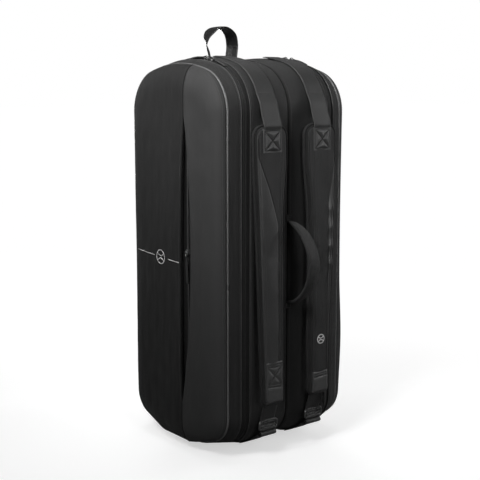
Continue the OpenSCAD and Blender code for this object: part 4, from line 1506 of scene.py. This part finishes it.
def facing(name, hand, side, find, outer_part):
    """One part of a strap's fabric facing, on the pad and tucked in at its edges."""
    z = layer_rows(0.0055, 150)
    inner, outer = soft_edges(z, 0.0055, 0.016, 0.007)
    seam = np.minimum(np.maximum(seam_line(hand, z), inner + 0.002), outer)
    if outer_part:
        keep = (outer - seam) > 0.0006
        z, seam, inner, outer = z[keep], seam[keep], inner[keep], outer[keep]
    low, high = (seam, outer) if outer_part else (inner, seam)
    u = 0.5 * np.linspace(0, 1, 26) + 0.5 * eased(26)
    x = low[:, None] + (high - low)[:, None] * u
    tall = np.broadcast_to(z[:, None], x.shape)
    flat = pad_plane(z) - PAD_T
    y = np.array([[find(side * a, b, flat[i]) for a in x[i]] for i, b in enumerate(z)])
    for _ in range(3):
        y[1:-1] = (y[:-2] + 2 * y[1:-1] + y[2:]) / 4
    rim = np.minimum(x - inner[:, None], outer[:, None] - x)
    rim = np.minimum(rim, np.minimum(tall - z[0], z[-1] - tall))
    raised = 0.0021 * np.sqrt(np.clip(1 - (1 - np.clip(rim / 0.0035, 0, 1)) ** 2, 0, 1))
    groove = 0.0008 * bell(x, seam[:, None], 0.0012) + 0.0005 * bell(rim, 0.0062, 0.0011)
    wrinkle = 0.0005 * swell(x, tall, 120 + side, 0.05) * step(rim, 0.004, 0.02)
    if hand == "r":
        for height in (0.475, 0.438, 0.402, 0.368):
            fold = bell(tall, height + 0.25 * (x - 0.082), 0.0085)
            wrinkle = wrinkle + 0.0018 * fold * step(x, 0.062, 0.076)
    y = y - raised + groove - wrinkle
    front = xyz(x, y, tall)
    back = xyz(x, y + raised + 0.0006, tall)[:, ::-1]
    points = np.concatenate([front, back], 1)
    flat_across = np.concatenate([x.mean(0), x.mean(0)[::-1], x.mean(0)[:1]])
    return lattice(name, points, flat_across, z, shut=True, side=side), front


def build_strap(hand, side):
    """Padded back of a strap, its edge binding, and the two parts of its facing."""
    body, thick = f"strap_{hand}", 0.0118
    pad = pad_shape(f"{body}_pad_body", side, thick, 0.0062)
    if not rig.quick():
        rim = lambda p: np.abs(p[:, 1] - (pad_plane(p[:, 2]) - thick / 2)) < 0.0016
        inflate(pad, 0.0038, 1.6, 0.0016, rim)
    find = front_finder(pad)
    place(pad, body, "pad_mesh", f"strap_pad_{hand}")

    edge_rows = layer_rows(0.0, 150)
    inner, outer = soft_edges(edge_rows)
    mid = pad_plane(edge_rows) - thick / 2
    left, right = xyz(inner + 0.0004, mid, edge_rows), xyz(outer - 0.0004, mid, edge_rows)
    loop = resample_loop(np.concatenate([left, right[::-1]]), 420)
    binding = cord(f"{body}_binding", loop, 0.0024, flat=1.5, closed=True, sides=12, side=side)
    place(binding, body, "seam_binding", finish=MATERIALS["strap_fabric"])

    face, rows = facing(f"{body}_facing", hand, side, find, False)
    place(face, body, "strap_fabric", f"strap_face_{hand}")
    band, band_rows = facing(f"{body}_band", hand, side, find, True)
    # The paler band paints the light on the strap's outer slope.
    place(band, body, "strap_fabric", finish=BAND_PAINTED_LIGHT)

    # A dark cord along the facing's seam: painted shadow in the seam's groove.
    seam = cord(f"{body}_seam", rows[6:-6, -1] + (0, 0.0003, 0), 0.0008, sides=8, side=side)
    place(seam, body, "seam_binding")
    for name, grid, column in [("inner", rows, 7), ("seam", rows, -3), ("outer", band_rows, -8)]:
        path = grid[4:-4, column] - (0, 0.0002, 0)
        sew(f"{body}_{name}_stitches", body, "strap_fabric", path, (0, -1, 0), side=side)


def resample_loop(points, count):
    """A closed path, evenly spaced and softened."""
    closed = np.concatenate([points, points[:1]])
    run = run_along(closed)
    even = np.linspace(0, run[-1], count, endpoint=False)
    loop = np.stack([np.interp(even, run, closed[:, k]) for k in range(3)], -1)
    for _ in range(3):
        loop = (np.roll(loop, 1, 0) + 2 * loop + np.roll(loop, -1, 0)) / 4
    return loop


# Pitch, length and width of the thick thread's stitches.
BOLD_STITCH = (0.0034, 0.0027, 0.0010)


def sewn_pad(name, body, side, low, high, surface, runs, puff, thick):
    """A padded square of webbing, (x, z) from low to high, drawn in along its stitched runs."""
    x, z = np.meshgrid(np.linspace(low[0], high[0], 70), np.linspace(low[1], high[1], 80))
    near = np.full(x.shape, 1.0)
    for (x0, z0), (x1, z1) in runs:
        length = math.hypot(x1 - x0, z1 - z0)
        t = np.clip(((x - x0) * (x1 - x0) + (z - z0) * (z1 - z0)) / length**2, 0, 1)
        near = np.minimum(near, np.hypot(x - x0 - t * (x1 - x0), z - z0 - t * (z1 - z0)))
    rim = np.minimum(np.minimum(x - low[0], high[0] - x), np.minimum(z - low[1], high[1] - z))
    rise = puff * (1 - np.exp(-((near / 0.0032) ** 2)))
    rise = rise * step(rim, 0, 0.004) - 0.0012 * (1 - step(rim, 0, 0.0014))
    points = xyz(x, surface(z) - rise, z)
    obj = face_out(lattice(name, points, x[0], z[:, 0], side=side), (0, -1, 0))
    thicken(obj, thick)
    # The paler webbing paints the highlights on the puffs.
    place(obj, body, "webbing", finish=SEWN_HIGHLIGHT)
    rows = []
    for number, ((x0, z0), (x1, z1)) in enumerate(runs):
        t = np.linspace(0.02, 0.98, 30)
        px, pz = x0 + (x1 - x0) * t, z0 + (z1 - z0) * t
        path = xyz(px, surface(pz) - 0.0002, pz)
        rows.append(stitches(f"run{number}", path, (0, -1, 0), *BOLD_STITCH, side))
    place(join(name + "_stitches", rows), body, "webbing", finish=MATERIALS["seam_binding"])


def crossed_box(centre, half_w, half_h):
    """Sewn runs of a box with a cross through it."""
    x, z = centre
    a, b = (x - half_w, z - half_h), (x + half_w, z - half_h)
    c, d = (x + half_w, z + half_h), (x - half_w, z + half_h)
    return [(a, b), (b, c), (c, d), (d, a), (a, c), (b, d)]


def build_strap_head(hand, side):
    """Webbing from the crown, over the corner and down to the boxed stitching on the pad."""
    body = f"strap_{hand}"
    s = np.linspace(s_on_top(-0.024), s_on_face(0.692), 120)
    y, z, normal_y, normal_z = on_outline(s, 0.0013)
    lift = 0.0012 * bell(s, s_on_face(0.700), 0.05)
    over = xyz(STRAP_X, y + lift * normal_y, z + lift * normal_z)
    front = pad_plane(0.62) - PAD_T - 0.0014
    down = [
        *over[-2:, 1:], (-HALF_D - 0.0040, 0.6760), (-HALF_D - 0.0084, 0.6610),
        (-HALF_D - 0.0130, 0.6470), (front - 0.0018, 0.6345),
        (front - 0.0008, 0.6280), (front + 0.0014, 0.6200),
    ]
    path = np.concatenate([over[:-2], strap_path(down, 60)])
    path[:, 1] += 0.0003 * swell(path[:, 2], path[:, 1], 130 + side, 0.05)
    webbing = strip(
        f"{body}_head_webbing", path, (1, 0, 0), HEAD_W, 0.0017, crown=0.0002, cols=15, side=side
    )
    start, end = ((side * STRAP_X, -0.16, height) for height in (0.662, 0.640))
    drape(webbing, ("core", body), start, end, "webbing", f"strap_anchor_{hand}")

    surface = lambda z: front - 0.0014 + PAD_LEAN * (z - 0.61)
    runs = crossed_box((STRAP_X, 0.6065), 0.0185, 0.0180)
    low, high = (STRAP_X - 0.0225, 0.5845), (STRAP_X + 0.0225, 0.6285)
    sewn_pad(f"{body}_head_box", body, side, low, high, surface, runs, 0.0030, 0.0026)

    x = np.linspace(STRAP_X - 0.017, STRAP_X + 0.017, 30)
    rows = []
    for number in range(3):
        y, z, normal_y, normal_z = on_outline(s_on_top(-0.026) - 0.003 * number, 0.0024)
        rows.append(stitches(f"row{number}", xyz(x, y, z), (0, normal_y, normal_z), *BOLD_STITCH, side))
    place(join(f"{body}_crown_stitches", rows), "core", "webbing", finish=THREAD)


def build_strap_tail(hand, side):
    """Folded tab at the strap's lower end and the adjuster webbing below it."""
    body = f"strap_{hand}"
    top = 0.196 if hand == "l" else 0.158
    surface = lambda z: pad_plane(z) - 0.0150 + 0.0030 * step(z, top - 0.004, top + 0.006)
    low, high = (STRAP_X - 0.0200, 0.1170), (STRAP_X + 0.0195, top)
    left, right = STRAP_X - 0.0165, STRAP_X + 0.0165
    bars = [((left, z), (right, z + 0.0015)) for z in (top - 0.006, top - 0.0105, 0.152, 0.147)]
    if hand == "l":
        bars += [((left, 0.152), (right, top - 0.0105)), ((right, 0.153), (left, top - 0.0105))]
    sewn_pad(f"{body}_tab", body, side, low, high, surface, bars, 0.0010, 0.0022)

    on_pad = lambda height, off: pad_plane(height) + off
    fold = [
        (on_pad(0.13, -0.0140), 0.130), (on_pad(0.12, -0.0144), 0.1195),
        (on_pad(0.12, -0.0120), 0.1160), (on_pad(0.12, -0.0095), 0.1200),
        (on_pad(0.13, -0.0080), 0.130),
    ]
    width = WEBBING_W - 0.0008
    tab = strip(f"{body}_tab_fold", strap_path(fold, 50), (1, 0, 0), width, 0.0018, cols=13, side=side)
    place(tab, body, "webbing")

    lock_y = middle(f"ladder_lock_{hand}").y
    lower = [
        (lock_y - 0.0022, 0.0575), (lock_y - 0.0028, 0.0610), (lock_y - 0.0012, 0.0650),
        (lock_y + 0.0016, 0.0690), (lock_y + 0.0016, 0.0760), (lock_y - 0.0020, 0.0900),
        (on_pad(0.112, -0.0006), 0.1080), (on_pad(0.12, -0.0050), 0.1190),
        (on_pad(0.13, -0.0060), 0.1300),
    ]
    width = WEBBING_W - 0.003
    webbing = strip(
        f"{body}_adjuster", strap_path(lower, 80), (1, 0, 0), width, 0.0016,
        crown=0.0002, cols=13, side=side,
    )
    start, end = ((side * STRAP_X, -0.17, height) for height in (0.082, 0.108))
    drape(webbing, ("core", body), start, end, "webbing", f"strap_webbing_{hand}")
    if hand == "r":
        build_loose_end(body, on_pad)


def build_loose_end(body, on_pad):
    """The doubled end of the adjuster webbing that hangs beside a strap's tail."""
    for number, back in enumerate((0.0, 0.004)):
        places = [
            (0.0740, on_pad(0.12, -0.0035) + back, 0.1220),
            (0.0800, on_pad(0.11, -0.0030) + back, 0.1110),
            (0.0850, on_pad(0.10, 0.0010) + back, 0.0985),
            (0.0865, on_pad(0.09, 0.0030) + back, 0.0860),
            (0.0860, on_pad(0.08, 0.0035) + back, 0.0790 + 0.003 * number),
        ]
        loose = smooth_path(places, 40)
        tail = strip(f"{body}_loose_end_{number}", loose, (0.75, 0.66, 0.1), 0.014, 0.0015)
        place(tail, body, "webbing")


def build_lock(hand, side):
    """Ladder lock: a rounded frame with two bars across it, and the webbing tab that holds it."""
    centre = middle(f"ladder_lock_{hand}")
    low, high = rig.box(f"ladder_lock_{hand}")
    x0 = abs(centre.x)
    half_w, half_h = (high.x - low.x) / 2 - 0.0021, (high.z - low.z) / 2 - 0.0021
    turn = np.linspace(0, 2 * math.pi, 88, endpoint=False)
    px, pz = half_w * squared(np.cos(turn), 0.38), half_h * squared(np.sin(turn), 0.38)
    bow = -0.0012 * (1 - (pz / half_h) ** 2) - 0.0006
    loop = resample_loop(xyz(x0 + px, centre.y + bow, centre.z + pz), 150)
    parts = [cord("frame", loop, 0.0021, flat=1.1, closed=True, sides=12, side=side)]
    t = np.linspace(-1, 1, 30)
    for height, radius, forward in [(-0.0015, 0.0017, -0.0010), (0.0052, 0.0015, -0.0004)]:
        bar = xyz(x0 + half_w * t, centre.y + forward - 0.0003 * (1 - t**2), centre.z + height)
        parts.append(cord(f"bar{height}", bar, radius, flat=1.2, side=side))
    tooth_z = centre.z - 0.0015 + np.linspace(-0.0013, 0.0013, 6)
    for k in range(11):
        tooth = xyz(x0 + half_w * 0.82 * (k / 5 - 1), centre.y - 0.0030, tooth_z)
        parts.append(cord(f"tooth{k}", tooth, 0.0006, sides=6, side=side))
    node = f"ladder_lock_{hand}"
    place(join(node + "_moulded", parts), f"lock_{hand}", "buckle_plastic", node)

    y, z, _, _ = on_outline(np.linspace(0.048, s_on_foot(-0.078), 30), 0.0012)
    under = xyz(STRAP_X, y, z)
    upper = [
        *under[-2:, 1:], (-0.0980, 0.0165), (-0.1220, 0.0272), (-0.1430, 0.0405),
        (centre.y + 0.0060, 0.0480), (centre.y + 0.0022, 0.0535), (centre.y - 0.0006, 0.0556),
        (centre.y - 0.0036, 0.0520), (centre.y - 0.0020, 0.0478), (-0.1530, 0.0442),
        (-0.1430, 0.0382), (-0.1230, 0.0260), (-0.1010, 0.0160),
    ]
    path = np.concatenate([under[:-2], strap_path(upper, 130)])
    node, width = f"buckle_tab_{hand}", WEBBING_W - 0.002
    tab = strip(node + "_webbing", path, (1, 0, 0), width, 0.0016, cols=13, side=side)
    place(tab, "core", "webbing", node)


def lean_out(prefix, reach):
    """Shifts a strap outwards above its lower end."""
    for obj in bpy.data.objects:
        if obj.name.startswith(prefix) and obj.type == "MESH" and obj.name not in frame["nodes"]:
            count = len(obj.data.vertices)
            flat = np.empty(count * 3, np.float32)
            obj.data.vertices.foreach_get("co", flat)
            places = flat.reshape(-1, 3)
            places[:, 0] += reach * step(places[:, 2], 0.16, 0.42)
            obj.data.vertices.foreach_set("co", places.ravel())
            obj.data.update()


def build_strap_emblem():
    """The same emblem, smaller, on strap R."""
    centre_x, centre_z = STRAP_X + 0.0015, 0.221
    front = pad_plane(centre_z) - PAD_T - 0.0029
    curves = ball_emblem((centre_x, centre_z), 0.0086, 0.0078, (0.0062, 0.0047), 0.9, (36, 14))
    parts = []
    for number, curve in enumerate(curves):
        path = xyz(curve[:, 0], front, curve[:, 1])
        parts.append(cord(f"line{number}", path, 0.0009, flat=0.4, closed=number == 0, sides=8))
    place(join("strap_emblem_print", parts), "strap_r", "emblem_print", "strap_emblem")


# ------------------------------------------------------------ handle, loop and foot


def build_handle():
    """Grab handle: a folded padded band that bows out and narrows to its sewn ends."""
    turn = np.linspace(-HANDLE_TURN, HANDLE_TURN, 110)
    angle = np.radians(turn)
    bow = 1 + 0.02 * np.cos(angle * 2)
    reach_y, reach_z = HANDLE_R * bow * np.cos(angle), HANDLE_R * np.sin(angle)
    path = xyz(0.0, HANDLE_Y - reach_y, HANDLE_Z + reach_z)
    path[:, 1] += 0.0050 * step(np.abs(turn), 66, HANDLE_TURN)
    share = np.abs(turn) / HANDLE_TURN
    width = 0.0085 + 0.0175 * (1 - share**2.6)
    thick = 0.0066 - 0.0030 * step(share, 0.75, 1.0)
    crown = -0.0010 * (1 - share**4)
    band = strip("carry_handle_band", path, (1, 0, 0), width, thick, crown, cols=21)
    for vertex in band.data.vertices:
        y, z = vertex.co.y, vertex.co.z
        vertex.co.x += 0.0006 * float(swell(np.array(y), np.array(z), 140, 0.05))
        vertex.co.y += 0.0005 * float(swell(np.array(vertex.co.x * 2), np.array(z), 141, 0.04))
    place(band, "handle", "handle_fabric", "carry_handle")
    out = xyz(0.0, -np.cos(angle), np.sin(angle))
    for number, sign in enumerate((-1, 1)):
        line = path + out * (thick / 2 - 0.0007)[:, None]
        line[:, 0] += sign * (width / 2 - 0.0030)
        name = f"carry_handle_stitches_{number}"
        sew(name, "handle", "handle_fabric", line[6:-6], out[6:-6])
    for number, sign in enumerate((-1, 1)):
        build_handle_anchor(number, sign)


def build_handle_anchor(number, sign):
    """Tab under one end of the handle, and the sewn bars across it."""
    z = HANDLE_Z + sign * HANDLE_R * math.sin(math.radians(HANDLE_TURN))
    y = -HALF_D + VALLEY - 0.0005
    name = f"handle_anchor_{number}"
    places = [(0, y - 0.0005, z + sign * 0.013), (0, y - 0.0012, z + sign * 0.004)]
    tab = smooth_path(places + [(0, y - 0.0024, z - sign * 0.002)], 20)
    anchor = strip(name + "_tab", tab, (1, 0, 0), np.linspace(0.018, 0.010, 20), 0.0022)
    nodes = ["handle_anchors"] if number == 0 else []
    place(anchor, "core", "handle_fabric", *nodes, finish=MATERIALS["ballistic_fabric"])
    x = np.linspace(-0.006, 0.006, 12)
    bars = []
    for shift in (0.004, 0.0075, 0.011):
        line = xyz(x, y - 0.0024, z + sign * shift)
        bars.append(stitches(f"bar{shift}", line, (0, -1, 0), pitch=0.0024, long=0.0020, wide=0.001))
    place(join(name + "_stitches", bars), "core", "handle_fabric", finish=THREAD)


def build_loop():
    """Hanging loop of satin webbing: broad on one leg, twisted on the other."""
    loop_y = middle("top_loop").y
    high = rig.box("top_loop")[1].z - 0.001
    places = [
        (0.0270, 0.7535), (0.0300, 0.7700), (0.0312, 0.7880), (0.0255, 0.8080), (0.0060, high),
        (-0.0160, high - 0.0035), (-0.0295, 0.8020), (-0.0325, 0.7850), (-0.0270, 0.7690),
        (-0.0235, 0.7535),
    ]
    path = smooth_path([(x, loop_y, z) for x, z in places], 120)
    t = np.linspace(0, 1, 120)
    turn = np.radians(-4 + 48 * step(t, 0.62, 0.88))
    across = xyz(-np.sin(turn), -np.cos(turn), 0.0)
    width = 0.036 - 0.004 * step(t, 0.6, 0.9)
    band = strip("top_loop_webbing", path, across, width, 0.0017, crown=0.0008, cols=15)
    drape(band, ("core", "loop"), (0, loop_y, 0.762), (0, loop_y, 0.792), "satin_webbing", "top_loop")
    build_loop_patch(loop_y)


def build_loop_patch(loop_y):
    """Patch across the crown that holds the loop's ends, sewn round its rim."""
    half_x, half_y, rows, cols = 0.041, 0.0195, 24, 30
    s = np.linspace(s_on_top(loop_y - half_y), s_on_top(loop_y + half_y), rows)[:, None]
    x = np.linspace(-half_x, half_x, cols)[None, :]
    y, z, normal_y, normal_z = on_outline(s)
    off = np.maximum(bulge(x), -0.0045) + 0.0011 + 0.0003 * swell(s, x, 150, 0.02)
    corner = np.minimum(half_x - np.abs(x), np.minimum(s - s[0], s[-1] - s))
    off = off - 0.0010 * (1 - step(corner, 0, 0.0016))
    points = xyz(x, y + off * normal_y, z + off * normal_z)
    patch = face_out(lattice("loop_patch_fabric", points, x[0], s[:, 0]), (0, 0, 1))
    thicken(patch, 0.0012)
    place(patch, "core", "ballistic_fabric", "loop_patch")
    inner = points[2 : rows - 2, 2 : cols - 2]
    ring = np.concatenate([inner[0], inner[1:-1, -1], inner[-1, ::-1], inner[-2:0:-1, 0]])
    rim = ring + (0, 0, 0.0003)
    sew("loop_patch_stitches", "core", "ballistic_fabric", rim, (0, 0, 1), closed=True)


def build_base():
    """Hard-wearing foot patch with moulded ribs and a plain rim."""
    half_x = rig.box("base_patch")[1].x
    y = np.linspace(-FRONT_FOOT - 0.004, REAR_FOOT, 90)
    x = np.linspace(-half_x + 0.001, half_x - 0.001, 60)
    rib = 0.0006 * step(np.sin(y * 2 * math.pi / 0.009), -0.3, 0.3)
    ends = np.minimum(y - y[0], y[-1] - y)
    rim = step(np.minimum(ends[:, None], half_x - np.abs(x)), 0.0, 0.006)
    bottom = 0.0008 - rib[:, None] * rim + 0.0004 * (1 - rim)
    bottom = np.maximum(bottom - bottom.min(), 0.0)
    top = np.maximum(PATCH_T - bulge(x) - 0.0002, bottom + 0.0012)
    outer, inner = xyz(x, y[:, None], bottom), xyz(x, y[:, None], top)[:, ::-1]
    points = np.concatenate([outer, inner], 1)
    across = np.concatenate([x, x[::-1], x[:1]])
    patch = lattice("base_patch_moulded", points, across, y, shut=True)
    place(patch, "core", "base_rubber", "base_patch")


# ------------------------------------------------------------ build the bag

for letter, side in SIDES.items():
    build_gusset(letter, side)
    build_lid_gusset(letter, side)
    build_zip(letter, side)
    build_core_inside(letter, side)
    build_lid_half(letter, side, front=True)
    build_lid_half(letter, side, front=False)
    build_panel_seam(letter, side)
    build_lid_inside(letter, side)
    build_pocket_zip(letter, side)
build_centre()
build_side_emblem()
build_all_sliders()
for hand, side in HANDS.items():
    build_strap(hand, side)
    build_strap_head(hand, side)
    build_strap_tail(hand, side)
    build_lock(hand, side)
lean_out("strap_r_", 0.0065)
build_strap_emblem()
build_handle()
build_loop()
build_base()


# ------------------------------------------------------------ studio


WORLD_LIGHT = 0.12


def link(name, data, place_at, back):
    """Puts a light or camera in the scene, with its +Z along back."""
    obj = bpy.data.objects.new(name, data)
    obj.location = place_at
    obj.rotation_mode = "QUATERNION"
    obj.rotation_quaternion = (-back).to_track_quat("-Z", "Y")
    bpy.context.scene.collection.objects.link(obj)
    return obj


def add_light(name, place_at, aim, size, power, size_y=None, spread=180):
    """A rectangular light that points at its aim."""
    data = bpy.data.lights.new(name, "AREA")
    data.shape, data.size, data.energy = "RECTANGLE", size, power
    data.size_y, data.spread = size_y or size, math.radians(spread)
    link(name, data, place_at, Vector(place_at) - Vector(aim))


def floor_material():
    """White where the camera sees it, fading into the background; dim in what it lights."""
    shader = Shader("studio_floor")
    place_at = shader.places("object")[2]
    seen = shader.node("ShaderNodeLightPath", {}, "Is Camera Ray")
    reach = shader.node("ShaderNodeVectorMath", {0: place_at}, 1, operation="LENGTH")
    limits = {0: reach, 1: 0.30, 2: 1.0}
    fade = shader.node("ShaderNodeMapRange", limits, interpolation_type="SMOOTHSTEP")
    grey = shader.mix(seen, 0.16, shader.mix(fade, 0.62, 0.0))
    shader.set(Base_Color=shader.colour([1, 1, 1], grey), Roughness=0.9, Specular_IOR_Level=0.1)
    glow = shader.math("MULTIPLY", seen, shader.mix(fade, 0.55, 1.0))
    shader.set(Emission_Color=(1, 1, 1, 1), Emission_Strength=glow)
    return shader.material


def build_studio():
    """White cove: the floor fades into the white background away from the bag."""
    runway = smooth_path([(0, 30, 0), (0, 10, 0), (0, -10, 0), (0, -30, 0)], 12)
    floor = strip("studio_floor", runway - (0, 0, 0.0006), (1, 0, 0), 60.0, 0.001, cols=5)
    floor.data.materials.append(floor_material())
    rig.stage(floor)

    world = bpy.data.worlds.new("studio")
    world.use_nodes = True
    tree = world.node_tree
    background = tree.nodes["Background"]
    background.inputs["Color"].default_value = (1.0, 1.0, 1.0, 1)
    path = tree.nodes.new("ShaderNodeLightPath")
    strength = tree.nodes.new("ShaderNodeMapRange")
    strength.inputs["To Min"].default_value = WORLD_LIGHT
    tree.links.new(path.outputs["Is Camera Ray"], strength.inputs["Value"])
    tree.links.new(strength.outputs["Result"], background.inputs["Strength"])
    bpy.context.scene.world = world

    add_light("key", (-1.04, -0.47, 1.36), (-0.14, -0.02, 0.76), 0.5, 3.9, size_y=0.7, spread=62)
    add_light("shine", (-0.5, -2.6, 1.5), (0, -0.1, 0.55), 0.5, 5.0, size_y=1.6, spread=90)
    add_light("rim", (2.0, -0.9, 1.0), (0.1, 0, 0.5), 0.4, 4.6, size_y=1.6, spread=90)
    add_light("back", (1.2, 2.3, 0.55), (0, 0.1, 0.40), 0.9, 9, size_y=0.5, spread=100)
    add_light("mesh", (-1.05, 0.75, 1.35), (-0.17, 0.09, 0.69), 0.25, 0.25, spread=24)
    add_light("top", (0.0, 0.2, 2.2), (0, 0, 0.76), 0.9, 2.4, spread=80)
    bpy.context.scene.view_settings.view_transform = "Standard"


def build_camera():
    """The photo's view, found by fitting the bag's outline to the photo's."""
    azimuth, elevation, distance = math.radians(-38.4), math.radians(9.3), 2.005
    flat = math.cos(elevation)
    back = Vector((math.sin(azimuth) * flat, -math.cos(azimuth) * flat, math.sin(elevation)))
    data = bpy.data.cameras.new("camera")
    data.sensor_width, data.lens = 36.0, 74.4
    data.shift_x, data.shift_y = 0.0052, 0.0185
    aim = Vector((0, 0, 0.38))
    bpy.context.scene.camera = link("camera", data, aim + back * distance, back)


build_studio()
build_camera()

low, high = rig.bounds()
with open("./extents.json", "w") as size_file:
    json.dump({"cad": [list(cad_low), list(cad_high)], "visual": [list(low), list(high)]}, size_file)
